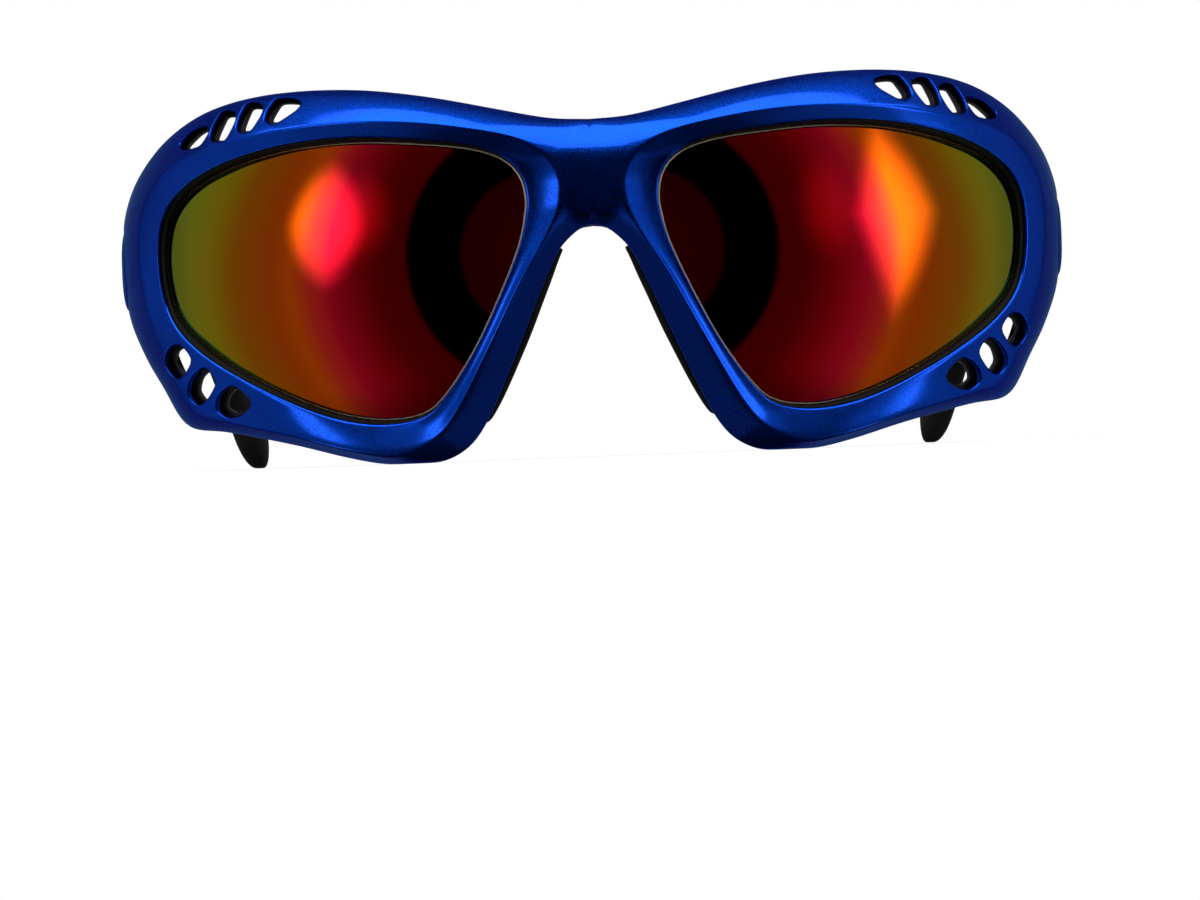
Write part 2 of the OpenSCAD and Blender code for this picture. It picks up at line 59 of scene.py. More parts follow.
class Side(Enum):
    """Which half of the sunglasses a piece belongs to."""

    LEFT = -1
    RIGHT = 1

    @property
    def word(self) -> str:
        """The side's name as it stands in a node's name."""
        return self.name.lower()


# Shader helpers and finishes


class Board:
    """The node tree of a material or a world, with short calls to add and join nodes."""

    def __init__(self, name: str, for_world: bool = False) -> None:
        """Starts an empty tree.

        Args:
            name: the material's or world's name.
            for_world: whether the tree is a world's.
        """
        self.owner = bpy.data.worlds.new(name) if for_world else bpy.data.materials.new(name)
        self.owner.use_nodes = True
        self.tree = self.owner.node_tree
        self.tree.nodes.clear()
        self.output = self.node("OutputWorld" if for_world else "OutputMaterial")

    def node(self, kind: str, feeds: Feeds | None = None, **values: object) -> bpy.types.Node:
        """Adds a node.

        Args:
            kind: the node's type without its "ShaderNode" start.
            feeds: sockets, numbers or colours for its inputs, by name or number.
            values: attributes of the node to set.

        Returns:
            The new node.
        """
        made = self.tree.nodes.new("ShaderNode" + kind)
        for key, value in values.items():
            setattr(made, key, value)
        for key, value in (feeds or {}).items():
            socket = made.inputs[key]
            if isinstance(value, Socket):
                self.tree.links.new(value, socket)
            else:
                socket.default_value = (*value, 1.0) if socket.type == "RGBA" else value
        return made

    def show(self, shader: bpy.types.Node) -> None:
        """Joins a shader to the output."""
        self.tree.links.new(shader.outputs[0], self.output.inputs["Surface"])

    def ramp(self, stops: Sequence[tuple[float, Sequence[float]]], value: Socket) -> Socket:
        """Adds a colour ramp.

        Args:
            stops: pairs of place and colour, in rising order of place.
            value: the socket that drives the ramp.

        Returns:
            The ramp's colour socket.
        """
        made = self.node("ValToRGB", {"Fac": value})
        band = made.color_ramp.elements
        while len(band) < len(stops):
            band.new(1.0)
        for element, (place, colour) in zip(band, stops):
            element.position = place
            element.color = (*colour, 1.0)
        return made.outputs["Color"]

    def math(self, operation: str, *values: Socket | float) -> Socket:
        """Adds a sum of one to three sockets or numbers, and gives its result."""
        return self.node("Math", dict(enumerate(values)), operation=operation).outputs[0]

    def spread(self, value: Socket, given: Pair, wanted: Pair, style: str = "LINEAR") -> Socket:
        """Maps a value from one range to another.

        Args:
            value: the value's socket.
            given: the range that it comes in.
            wanted: the range that it is mapped to.
            style: how it runs between the range's ends.

        Returns:
            The mapped value's socket.
        """
        ends = dict(zip(("From Min", "From Max", "To Min", "To Max"), (*given, *wanted)))
        return self.node("MapRange", {"Value": value, **ends}, interpolation_type=style).outputs["Result"]

    def place(self) -> Socket:
        """The Object coordinates."""
        return self.node("TexCoord").outputs["Object"]

    def parts(self, vector: Socket) -> bpy.types.NodeOutputs:
        """The X, Y and Z of a vector."""
        return self.node("SeparateXYZ", {0: vector}).outputs

    def noise(self, scale: float, detail: float = 2.0, roughness: float = 0.5,
              stretch: Point | None = None) -> Socket:
        """Adds a noise on Object coordinates.

        Args:
            scale: the noise's scale, per metre.
            detail: its octaves.
            roughness: how strong the finer octaves are.
            stretch: what the coordinates are scaled by first.

        Returns:
            The noise's value socket.
        """
        place = self.place()
        if stretch:
            place = self.node("Mapping", {"Vector": place, "Scale": stretch}).outputs["Vector"]
        feeds = {"Vector": place, "Scale": scale, "Detail": detail, "Roughness": roughness}
        return self.node("TexNoise", feeds).outputs["Fac"]

    def bump(self, height: Socket, strength: float, distance: float) -> Socket:
        """Adds a bump of a strength and a depth in metres, and gives its normal."""
        feeds = {"Height": height, "Strength": strength, "Distance": distance}
        return self.node("Bump", feeds).outputs["Normal"]

    def principled(self, **values: object) -> None:
        """Adds a Principled shader and joins it to the output.

        Args:
            values: its sockets by name, with underscores for spaces, as numbers, colours or sockets.
        """
        feeds = {key.replace("_", " "): value for key, value in values.items()}
        self.show(self.node("BsdfPrincipled", feeds))


@dataclass(frozen=True)
class Lacquer:
    """Metallic blue lacquer: a mix of smooth and rough flakes under a thin clear coat."""

    deep: Point = (0.0004, 0.056, 0.56)
    bright: Point = (0.0008, 0.077, 0.74)
    edge_tint: Point = (0.0, 0.40, 1.0)
    smooth: float = 0.07
    rough: float = 0.32
    flakes_per_metre: float = 8200.0
    flake_edge: Pair = (0.44, 0.54)
    flake_share: float = 0.5
    clouds_per_metre: float = 60.0
    clear_coat: float = 0.16

    def material(self) -> bpy.types.Material:
        """Builds the lacquer.

        Returns:
            The new material.
        """
        board = Board("metallic_blue_lacquer")
        flakes = board.noise(self.flakes_per_metre, 1.0)
        mixed = board.math("MULTIPLY_ADD", flakes, self.flake_share, board.noise(self.clouds_per_metre))
        colour = board.ramp([(0.45, self.deep), (1.0, self.bright)], mixed)
        rough = board.spread(flakes, self.flake_edge, (self.smooth, self.rough), "SMOOTHSTEP")
        board.principled(Base_Color=colour, Metallic=1.0, Roughness=rough, Specular_Tint=self.edge_tint,
                         Coat_Weight=self.clear_coat, Coat_Roughness=0.03, Coat_IOR=1.45)
        return board.owner


@dataclass(frozen=True)
class MouldedBlack:
    """Black moulded plastic or rubber with a fine grain."""

    name: str = "satin_black_plastic"
    colour: Point = (0.006, 0.006, 0.007)
    lighter: Point = (0.012, 0.012, 0.014)
    roughness: float = 0.42
    grain_per_metre: float = 2600.0
    depth: float = 0.00004
    specular: float = 0.3
    grain_strength: float = 0.35
    wear_per_metre: float = 90.0
    smoother: float = 0.06
    rougher: float = 0.08

    def material(self) -> bpy.types.Material:
        """Builds the black finish.

        Returns:
            The new material.
        """
        board = Board(self.name)
        grain = board.noise(self.grain_per_metre, 3.0, 0.6)
        wear = board.noise(self.wear_per_metre, 3.0)
        colour = board.ramp([(0.35, self.colour), (0.75, self.lighter)], wear)
        most = (self.roughness - self.smoother, self.roughness + self.rougher)
        rough = board.spread(wear, (0.0, 1.0), most)
        board.principled(Base_Color=colour, Roughness=rough, Specular_IOR_Level=self.specular,
                         Normal=board.bump(grain, self.grain_strength, self.depth))
        return board.owner


@dataclass(frozen=True)
class MirrorCoat:
    """Coloured mirror coat: dark red beside the nose, orange in the middle, olive at the outer end."""

    half_width: float = 0.068
    middle_z: float = 0.0275
    bend: float = 19.0
    unevenness: float = -0.0006
    roughness: float = 0.03
    clear_coat: float = 0.02
    bands: tuple[tuple[float, Point], ...] = (
        (0.10, (0.60, 0.0006, 0.003)), (0.49, (0.62, 0.001, 0.005)), (0.575, (0.74, 0.006, 0.028)),
        (0.62, (0.84, 0.036, 0.020)), (0.66, (0.86, 0.11, 0.001)), (0.71, (0.66, 0.09, 0.001)),
        (0.79, (0.50, 0.15, 0.0005)), (0.85, (0.42, 0.30, 0.001)), (0.92, (0.30, 0.35, 0.004)))

    def material(self) -> bpy.types.Material:
        """Builds the mirror coat, whose colour follows the distance from the nose.

        Returns:
            The new material.
        """
        board = Board("orange_mirror_coat")
        parts = board.parts(board.place())
        across = board.math("ABSOLUTE", board.math("ADD", parts["X"], self.unevenness))
        above = board.math("SUBTRACT", parts["Z"], self.middle_z)
        bend = board.math("MULTIPLY", board.math("MULTIPLY", above, above), self.bend)
        share = board.math("DIVIDE", board.math("ADD", across, bend), self.half_width)
        board.principled(Base_Color=board.ramp(self.bands, share), Metallic=1.0, Roughness=self.roughness,
                         Coat_Weight=self.clear_coat, Coat_Roughness=0.02)
        return board.owner


@dataclass(frozen=True)
class DarkTint:
    """The lens's dark grey-brown tint, seen from behind."""

    colour: Point = (0.020, 0.015, 0.012)
    lighter: Point = (0.032, 0.024, 0.018)
    clouds_per_metre: float = 40.0

    def material(self) -> bpy.types.Material:
        """Builds the tint.

        Returns:
            The new material.
        """
        board = Board("dark_polarized_tint")
        cloud = board.noise(self.clouds_per_metre, 1.0)
        colour = board.ramp([(0.3, self.colour), (0.8, self.lighter)], cloud)
        board.principled(Base_Color=colour, Roughness=0.06, Specular_IOR_Level=0.6,
                         Coat_Weight=0.4, Coat_Roughness=0.03)
        return board.owner


@dataclass(frozen=True)
class BevelEdge:
    """The polished edge round a lens's front, whose colour is painted light: a pale painted highlight
    beside the nose, a warm painted glint further out, and brown painted shade at the outer end.
    """

    # Painted highlight, painted glint and painted shade, in order from the nose outwards.
    pale: Point = (0.95, 0.80, 0.60)
    warm: Point = (0.85, 0.42, 0.12)
    dark: Point = (0.05, 0.025, 0.008)
    unevenness: float = 0.002
    waves_per_metre: float = 300.0

    def material(self) -> bpy.types.Material:
        """Builds the polished edge, with its painted highlight, glint and shade.

        Returns:
            The new material.
        """
        board = Board("polished_lens_edge_painted_glint")
        across = board.math("ABSOLUTE", board.parts(board.place())["X"])
        uneven = board.math("MULTIPLY_ADD", board.noise(self.waves_per_metre, 1.0), self.unevenness, across)
        # Painted light by distance from the nose: painted highlight, then painted glint, then painted
        # shade.
        colour = board.ramp([(0.028, self.pale), (0.044, self.warm), (0.060, self.dark)], uneven)
        board.principled(Base_Color=colour, Metallic=0.2, Roughness=0.3)
        return board.owner


@dataclass(frozen=True)
class BrushedSteel:
    """Stainless steel with fine brush marks along the height."""

    colour: Point = (0.50, 0.51, 0.53)
    shade: float = 0.8
    marks_per_metre: float = 5200.0
    stretch: Point = (1.0, 1.0, 0.06)
    depth: float = 0.00002

    def material(self) -> bpy.types.Material:
        """Builds the steel.

        Returns:
            The new material.
        """
        board = Board("brushed_steel")
        marks = board.noise(self.marks_per_metre, stretch=self.stretch)
        colour = board.ramp([(0.3, tuple(self.shade * c for c in self.colour)), (0.7, self.colour)], marks)
        board.principled(Base_Color=colour, Metallic=1.0, Roughness=0.3,
                         Normal=board.bump(marks, 0.25, self.depth))
        return board.owner


RUBBER = MouldedBlack("soft_black_rubber", (0.003, 0.003, 0.003), (0.007, 0.007, 0.007), roughness=0.6,
                      grain_per_metre=1900.0, depth=0.00006, specular=0.12)


@dataclass
class Finishes:
    """The finishes, each built once."""

    lacquer: bpy.types.Material = field(default_factory=lambda: Lacquer().material())
    black: bpy.types.Material = field(default_factory=lambda: MouldedBlack().material())
    rubber: bpy.types.Material = field(default_factory=RUBBER.material)
    mirror: bpy.types.Material = field(default_factory=lambda: MirrorCoat().material())
    tint: bpy.types.Material = field(default_factory=lambda: DarkTint().material())
    # The lens edge's finish: painted highlight beside the nose, painted shade at the outer end.
    edge: bpy.types.Material = field(default_factory=lambda: BevelEdge().material())
    steel: bpy.types.Material = field(default_factory=lambda: BrushedSteel().material())


# Mesh helpers


def make_object(bm: BMesh, name: str, materials: Sequence[bpy.types.Material]) -> bpy.types.Object:
    """Makes an object of a mesh and puts it in the scene.

    Args:
        bm: the mesh, which is freed.
        name: the object's name.
        materials: its materials, by face index.

    Returns:
        The new object.
    """
    mesh = bpy.data.meshes.new(name)
    bm.to_mesh(mesh)
    bm.free()
    for material in materials:
        mesh.materials.append(material)
    made = bpy.data.objects.new(name, mesh)
    bpy.context.scene.collection.objects.link(made)
    return made


def hide_from(thing: bpy.types.Object, *rays: str) -> None:
    """Hides an object from some kinds of rays."""
    for ray in rays:
        setattr(thing, "visible_" + ray, False)


def hand_over(bm: BMesh, name: str, materials: Sequence[bpy.types.Material], body: str,
              nodes: Sequence[str], levels: int = 0, side: Side = Side.RIGHT) -> bpy.types.Object:
    """Makes a finished object of a mesh drawn in millimetres for the right-hand side.

    Args:
        bm: the mesh, which is freed.
        name: the piece's name.
        materials: its materials, by face index.
        body: the CAD body that it rides on.
        nodes: the CAD nodes that it stands for.
        levels: subdivision levels.
        side: the side that it is for.

    Returns:
        The new object.
    """
    bmesh.ops.scale(bm, vec=(side.value * MM, MM, MM), verts=bm.verts)
    bmesh.ops.recalc_face_normals(bm, faces=bm.faces)
    for face in bm.faces:
        face.smooth = True
    for edge in bm.edges:
        edge.smooth = len({face.material_index for face in edge.link_faces}) < 2
    piece = make_object(bm, name, materials)
    if levels:
        rounding = piece.modifiers.new("rounding", "SUBSURF")
        rounding.levels = rounding.render_levels = levels
    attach(piece, body)
    if nodes:
        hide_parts(*nodes)
    log.info("%s: %d faces, on %s", name, len(piece.data.polygons), body)
    return piece


def start_ring(bm: BMesh, places: Sequence[Vector]) -> list[BMVert]:
    """Draws the first ring of a loft.

    Args:
        bm: the mesh.
        places: the ring's points in order.

    Returns:
        The ring's vertices in the same order.
    """
    ring = bmesh.ops.create_circle(bm, segments=len(places), radius=1.0)["verts"]
    ring.sort(key=lambda v: v.index)
    for vertex, place in zip(ring, places):
        vertex.co = place
    return ring


def ring_edges(bm: BMesh, ring: Sequence[BMVert]) -> list[BMEdge]:
    """The edges between a ring's vertices."""
    return [bm.edges.get(pair) for pair in zip(ring, [*ring[1:], ring[0]])]


def next_ring(bm: BMesh, ring: Sequence[BMVert], places: Sequence[Vector],
              material: int = 0) -> list[BMVert]:
    """Extrudes a ring and moves the new one to its place.

    Args:
        bm: the mesh.
        ring: the last ring.
        places: the new ring's points, in the same order.
        material: the material of the faces between.

    Returns:
        The new ring's vertices.
    """
    grown = bmesh.ops.extrude_edge_only(bm, edges=ring_edges(bm, ring))["geom"]
    fresh = {v for v in grown if isinstance(v, BMVert)}
    for face in grown:
        if isinstance(face, BMFace):
            face.material_index = material
    twins = [next(e.other_vert(v) for e in v.link_edges if e.other_vert(v) in fresh) for v in ring]
    for twin, place in zip(twins, places):
        twin.co = place
    return twins


def close_ring(bm: BMesh, ring: Sequence[BMVert], material: int = 0, inset: float = 0.3) -> None:
    """Caps a ring with one face and a smaller ring inside it, so that it rounds evenly.

    Args:
        bm: the mesh.
        ring: the ring's vertices in order.
        material: the cap's material.
        inset: how far in the smaller ring lies, as a share of the ring's size.
    """
    face = bmesh.ops.contextual_create(bm, geom=ring_edges(bm, ring))["faces"][0]
    face.material_index = material
    size = sum((v.co - face.calc_center_median()).length for v in ring) / len(ring)
    bmesh.ops.inset_region(bm, faces=[face], thickness=inset * size, depth=0.0)


def loft(bm: BMesh, rings: Sequence[Sequence[Vector]], materials: Sequence[int] | None = None,
         capped: bool = True) -> tuple[list[BMVert], list[BMVert]]:
    """Draws a skin over rings of points, one after the other.

    Args:
        bm: the mesh.
        rings: each ring's points in order.
        materials: for each ring, the material of the faces up to it, 0 if not given.
        capped: whether both ends are closed.

    Returns:
        The first and the last ring's vertices.
    """
    materials = materials or [0] * len(rings)
    first = ring = start_ring(bm, rings[0])
    if capped:
        close_ring(bm, ring, materials[0])
    for places, material in zip(rings[1:], materials[1:]):
        ring = next_ring(bm, ring, places, material)
    if capped:
        close_ring(bm, ring, materials[-1])
    return first, ring


def box(bm: BMesh, size: Sequence[float], middle: Sequence[float] = (0.0, 0.0, 0.0)) -> list[BMVert]:
    """Adds a box.

    Args:
        bm: the mesh.
        size: its size along x, y and z.
        middle: its middle.

    Returns:
        The box's vertices.
    """
    made = bmesh.ops.create_cube(bm, size=1.0)["verts"]
    bmesh.ops.scale(bm, vec=size, verts=made)
    bmesh.ops.translate(bm, vec=middle, verts=made)
    return made


def round_off(bm: BMesh, edges: Sequence[BMEdge], reach: float, segments: int = 2) -> None:
    """Rounds edges off as far as reach."""
    bmesh.ops.bevel(bm, geom=edges, offset=reach, segments=segments, profile=0.5, affect="EDGES",
                    material=-1)


def relax(bm: BMesh, vertices: Sequence[BMVert], axes: str) -> None:
    """Moves vertices half-way to the middle of their neighbours, along the named axes."""
    bmesh.ops.smooth_vert(bm, verts=vertices, factor=0.5, use_axis_x="X" in axes, use_axis_y="Y" in axes,
                          use_axis_z="Z" in axes)


def eased(value: float, low: float, high: float) -> float:
    """Rises smoothly from 0 at low to 1 at high."""
    t = max(0.0, min(1.0, (value - low) / (high - low)))
    return t * t * (3.0 - 2.0 * t)


def window(value: float, low: float, full: float, leave: float, high: float) -> float:
    """Rises smoothly from 0 at low to 1 at full, and falls from 1 at leave to 0 at high."""
    return eased(value, low, full) * (1.0 - eased(value, leave, high))


def amount(wanted: Along, s: float) -> float:
    """An amount at a place along the rim, whether it is fixed or changes along it."""
    return wanted(s) if callable(wanted) else wanted


# The front's surfaces


@dataclass(frozen=True)
class FaceBall:
    """The ball that the lenses' front faces lie on, with a strip in the middle that is flat sideways."""

    radius: float = 68.0
    strip: float = 7.74725
    rise: float = 5.0
    shift_y: float = -83.5268
    mid_z: float = 25.95
    rear_y: float = 48.2273 + shift_y
    top_z: float = 55.14

    def centre(self, x: float) -> Vector:
        """The ball's centre as a point at x sees it."""
        return Vector((min(x, self.strip), self.radius + self.shift_y, self.rise + self.mid_z))

    def place(self, drawn: Vector) -> Vector:
        """Puts a drawn point in space.

        Args:
            drawn: how far across, how far up, and its height above the ball.

        Returns:
            The point in the row's frame, in millimetres.
        """
        side = max(0.0, drawn.x - self.strip)
        deep = (self.radius + drawn.z) ** 2 - side * side - (drawn.y - self.rise) ** 2
        y = self.radius - math.sqrt(max(deep, 0.0)) + self.shift_y
        return Vector((drawn.x, y, drawn.y + self.mid_z))

    def outward(self, point: Vector) -> Vector:
        """The direction straight out of the ball at a point."""
        return (point - self.centre(point.x)).normalized()

    def height(self, point: Vector) -> float:
        """A point's height above the ball."""
        return (point - self.centre(point.x)).length - self.radius

    def raised(self, point: Vector, rise: float) -> Vector:
        """The point moved out of the ball by rise."""
        return point + rise * self.outward(point)

    def kept_in(self, point: Vector) -> Vector:
        """The point kept above the surface that the part stands on, and before the front's rear plane."""
        return Vector((max(point.x, 0.0), min(point.y, self.rear_y), min(max(point.z, 0.0), self.top_z)))


BALL = FaceBall()
HINGE = Vector((69.0, -32.5996, 31.35))

# Sections round the right-hand lens: opening, ridge, shoulder and outer edge, each as across, up, height
SECTIONS: tuple[tuple[Point, ...], ...] = (
    ((11.9, 16.9, 1.2), (7.4, 17.9, 3.3), (2.2, 20.8, 1.9), (0.0, 22.6, -0.2)),
    ((14.2, 18.3, 1.5), (11.5, 20.1, 3.6), (7.0, 22.2, 2.0), (6.0, 23.0, -0.2)),
    ((18.5, 19.6, 1.9), (17.0, 21.5, 3.6), (14.0, 23.8, 1.9), (13.3, 24.6, -0.2)),
    ((25.5, 20.6, 2.1), (24.8, 22.8, 3.5), (24.0, 26.1, 1.8), (23.6, 27.0, -0.2)),
    ((34.0, 21.4, 2.1), (33.8, 23.5, 3.4), (34.0, 27.7, 1.6), (34.0, 28.7, -0.2)),
    ((42.5, 21.3, 2.1), (43.0, 23.4, 3.1), (44.6, 28.3, 1.3), (44.8, 29.2, -0.2)),
    ((49.3, 20.4, 2.1), (50.8, 22.5, 2.9), (53.2, 27.5, 1.0), (53.8, 28.4, -0.3)),
    ((55.2, 18.9, 2.1), (57.6, 21.2, 2.7), (59.8, 25.2, 0.9), (60.6, 26.2, -0.3)),
    ((60.5, 16.4, 1.8), (63.3, 19.2, 2.5), (65.6, 21.4, 0.8), (66.4, 22.2, -0.3)),
    ((64.0, 12.5, 1.5), (67.2, 14.6, 2.2), (69.8, 15.9, 0.8), (70.8, 16.4, -0.3)),
    ((65.1, 7.0, 1.3), (68.4, 8.2, 2.0), (71.5, 8.5, 0.8), (72.5, 8.6, -0.2)),
    ((64.6, 0.6, 1.3), (67.6, -0.2, 2.0), (70.6, -0.8, 0.8), (71.6, -1.0, -0.2)),
    ((62.9, -4.0, 1.5), (65.6, -6.4, 2.0), (68.2, -7.3, 1.0), (69.1, -7.6, -0.3)),
    ((59.5, -7.8, 1.8), (63.4, -11.9, 2.2), (65.2, -12.6, 1.2), (66.0, -13.0, -0.4)),
    ((55.6, -10.7, 1.7), (60.4, -17.0, 2.3), (61.7, -18.2, 1.2), (62.2, -19.0, -0.4)),
    ((50.4, -13.8, 1.6), (55.0, -18.7, 2.4), (55.2, -19.7, 1.2), (55.3, -20.3, -0.4)),
    ((43.5, -17.2, 1.6), (45.2, -21.2, 3.1), (45.0, -22.0, 1.2), (45.0, -22.6, -0.4)),
    ((37.5, -19.3, 1.6), (37.0, -23.6, 3.75), (36.7, -24.3, 1.3), (36.6, -24.9, -0.4)),
    ((31.5, -20.2, 1.6), (30.0, -24.8, 3.85), (29.4, -25.6, 1.4), (29.0, -26.3, -0.4)),
    ((26.0, -19.5, 1.6), (24.2, -22.8, 3.4), (23.4, -24.6, 1.4), (22.6, -25.8, -0.6)),
    ((22.4, -16.8, 1.7), (20.4, -18.4, 2.9), (18.9, -20.6, 1.3), (17.3, -22.0, -1.0)),
    ((17.6, -10.0, 1.8), (15.4, -9.4, 2.65), (13.6, -10.2, 1.1), (11.8, -10.9, -1.6)),
    ((13.2, -1.4, 1.6), (10.7, -0.6, 2.6), (9.1, -1.0, 1.1), (7.6, -1.4, -1.6)),
    ((10.6, 4.8, 1.3), (7.2, 5.0, 2.85), (5.9, 4.4, 1.6), (4.8, 4.2, -0.9)),
    ((9.6, 9.0, 1.0), (5.2, 9.0, 2.9), (3.7, 7.8, 2.0), (2.3, 6.8, 0.1)),
    ((9.4, 11.4, 1.0), (4.6, 11.3, 3.0), (2.3, 9.6, 2.15), (0.0, 7.4, 1.5)),
    ((9.8, 13.8, 1.0), (4.6, 13.8, 3.0), (2.2, 13.2, 2.55), (0.0, 12.6, 2.5)),
    ((10.7, 15.6, 1.1), (5.8, 16.4, 3.05), (2.3, 18.0, 2.8), (0.0, 18.4, 2.85)),
)
SEAM_TOP, SEAM_FOOT = 0, 25
OPENING, OUTER = 0, 3

# Stretches of the rim, in sections: where each starts, is full, begins to end, and ends. The nose's
# stretch runs over the first section, so its start and its end are given apart.
LOW_EDGE = (14.6, 16.2, 17.8, 19.4)
BESIDE_NOSE = (14.5, 16.5, 26.0, 27.5)
THIN_BACK = (1.0, 3.0, 16.0, 18.5)
NOSE_START, NOSE_END = (17.0, 20.0), (0.5, 2.5)


@dataclass(frozen=True)
class RimSurface:
    """The rim's face round one lens, by the place along it and the place across it."""

    lip_shift: float = 0.0
    ridge_round: float = 0.08
    nose_round: float = 0.09
    hollow: float = 0.28
    low_crown: float = 0.08
    shoulder_round: float = 0.7
    past_seam: Vector = field(default_factory=lambda: Vector((0.0, 0.3, -4.3)))

    def drawn(self, s: float, curve: int) -> Vector:
        """A drawn point of one of the four curves.

        Args:
            s: the place along the rim, in sections.
            curve: 0 the opening, 1 the ridge, 2 the shoulder, 3 the outer edge.

        Returns:
            How far across, how far up, and the height above the ball.
        """
        count = len(SECTIONS)
        first = math.floor(s)
        t = s - first
        a, b, c, d = (Vector(SECTIONS[(first + k) % count][curve]) for k in (-1, 0, 1, 2))
        here, ahead = first % count, (first + 1) % count
        if curve == OUTER and here == SEAM_TOP:
            a = Vector((-c.x, c.y, c.z))
        elif curve == OUTER and ahead == SEAM_TOP:
            d = c + self.past_seam
        elif curve == OUTER and here == SEAM_FOOT:
            a = 2 * b - c
        elif curve == OUTER and ahead == SEAM_FOOT:
            d = Vector((-b.x, b.y, b.z))
        point = 0.5 * (2 * b + (c - a) * t + (2 * a - 5 * b + 4 * c - d) * t * t
                       + (3 * b - a - 3 * c + d) * t ** 3)
        point.x = max(point.x, 0.0)
        return point

    def lens_edge(self, s: float) -> Vector:
        """The opening's edge brought down to the ball."""
        drawn = self.drawn(s, OPENING)
        return BALL.raised(BALL.place(drawn), -drawn.z)

    def beside(self, s: float, reach: float, rise: float) -> Vector:
        """A point beside the opening.

        Args:
            s: the place along the rim.
            reach: how far outside the opening it lies.
            rise: its height above the ball.

        Returns:
            The point in the row's frame.
        """
        edge = self.lens_edge(s)
        along = self.lens_edge(s + 0.3) - self.lens_edge(s - 0.3)
        away = BALL.outward(edge).cross(along).normalized()
        point = edge + reach * away
        return BALL.raised(point, rise - BALL.height(point))

    def across(self, s: float, t: float) -> Vector:
        """A drawn point of the face, with rounded ridge and shoulder.

        Args:
            s: the place along the rim, in sections.
            t: the place across it, 0 at the opening, 1 ridge, 2 shoulder, 3 outer edge.

        Returns:
            The drawn point.
        """
        points = [self.drawn(s, curve) for curve in range(4)]
        if self.lip_shift:
            lip = points[0].z
            moved = self.beside(s, self.lip_shift, lip)
            points[0] = Vector((moved.x, moved.z - BALL.mid_z, lip))
        first = min(int(t), 2)
        point = points[first].lerp(points[first + 1], t - first)
        turn = s % len(SECTIONS)
        if t < 1.0:
            nose = eased(turn, *NOSE_START) + 1.0 - eased(turn, *NOSE_END)
            low = window(turn, *LOW_EDGE)
            bow = self.low_crown * low - self.hollow * nose * (1.0 - low)
            point.z += 4.0 * bow * t * (1.0 - t) * min(1.0, points[1].z - points[0].z)
        ridge = self.ridge_round + self.nose_round * window(turn, *BESIDE_NOSE)
        for corner, reach in ((1, ridge), (2, self.shoulder_round)):
            kink = points[corner + 1] - 2 * points[corner] + points[corner - 1]
            point += kink * max(0.0, reach - abs(t - corner)) ** 2 / (4 * reach)
        return point

    def at(self, s: float, t: float) -> Vector:
        """The face's point in the row's frame."""
        return BALL.place(self.across(s, t))

    def locate(self, goal: Pair, measure: Measure, s: float, t: float) -> Pair:
        """Finds the place on the face with two given measures.

        Args:
            goal: the two measures wanted.
            measure: what takes them from a point.
            s: where to start, along.
            t: where to start, across.

        Returns:
            The place along and across.
        """
        step, most, tries = 1e-3, 0.3, 16
        for _ in range(tries):
            here = measure(self.at(s, t))
            ahead, aside = measure(self.at(s + step, t)), measure(self.at(s, t + step))
            a, b = (ahead[0] - here[0]) / step, (aside[0] - here[0]) / step
            c, d = (ahead[1] - here[1]) / step, (aside[1] - here[1]) / step
            e, f = goal[0] - here[0], goal[1] - here[1]
            whole = a * d - b * c
            if abs(whole) < 1e-9:
                break
            s += max(-most, min(most, (e * d - b * f) / whole))
            t = max(0.02, min(2.98, t + max(-most, min(most, (a * f - c * e) / whole))))
        return s, t


@dataclass(frozen=True)
class Vent:
    """One vent: its outline, which of its corners are its grid block's, and the block's middle and rows."""

    outline: tuple[Pair, ...]
    turns: tuple[int, int, int, int]
    middle: float
    rows: tuple[int, int]


# The grid over the rim: the columns' steps up to each place along, the rows' places across, and the
# rows that the upper and the lower vents span
COLUMN_STEPS: tuple[Pair, ...] = (
    (4.5, 0.25), (7.75, 0.125), (9.25, 0.25), (11.5, 0.125), (12.25, 0.25), (15.25, 0.2), (28.0, 0.25))
ROWS: tuple[float, ...] = (0.0, 0.07, 0.24, 0.41, 0.58, 0.78, 0.91, 1.0, 1.09, 1.25, 1.42, 1.59, 1.76, 1.93,
                           2.12, 2.4, 2.7, 2.9, 3.0)
VENT_COLUMNS = 3
UPPER, LOWER = (9, 13), (2, 6)
VENTS: tuple[Vent, ...] = (
    Vent(((45.9, 24.9), (46.9, 25.2), (45.3, 27.7), (41.9, 27.3)), (0, 1, 2, 3), 5.12, UPPER),
    Vent(((50.0, 24.1), (51.3, 24.2), (49.9, 27.5), (48.0, 27.2)), (0, 1, 2, 3), 5.69, UPPER),
    Vent(((54.0, 23.1), (55.6, 23.2), (53.9, 26.7), (52.3, 26.5)), (0, 1, 2, 3), 6.27, UPPER),
    Vent(((58.0, 22.9), (60.2, 22.5), (60.4, 23.0), (57.5, 25.2), (56.5, 25.3)), (0, 1, 2, 4), 6.94, UPPER),
    Vent(((62.5, -7.3), (61.0, -9.3), (62.7, -11.6), (64.1, -9.5), (63.9, -8.1)), (0, 1, 2, 3),
         12.76, LOWER),
    Vent(((58.4, -11.0), (57.2, -12.8), (59.4, -15.7), (60.6, -14.0), (59.7, -11.8)), (0, 1, 2, 3),
         13.78, LOWER),
    Vent(((54.1, -13.9), (51.8, -16.0), (52.2, -17.1), (54.7, -17.6), (56.1, -16.6), (55.4, -14.6)),
         (0, 1, 3, 4), 14.8, LOWER),
)


def column_places() -> list[float]:
    """The grid's places along the rim, closer together at the vents and the temple's notch.

    Returns:
        The places in sections, in rising order.
    """
    places = [0.0]
    for stop, step in COLUMN_STEPS:
        start = places[-1]
        count = round((stop - start) / step)
        places += [start + (stop - start) * (k + 1) / count for k in range(count)]
    return places


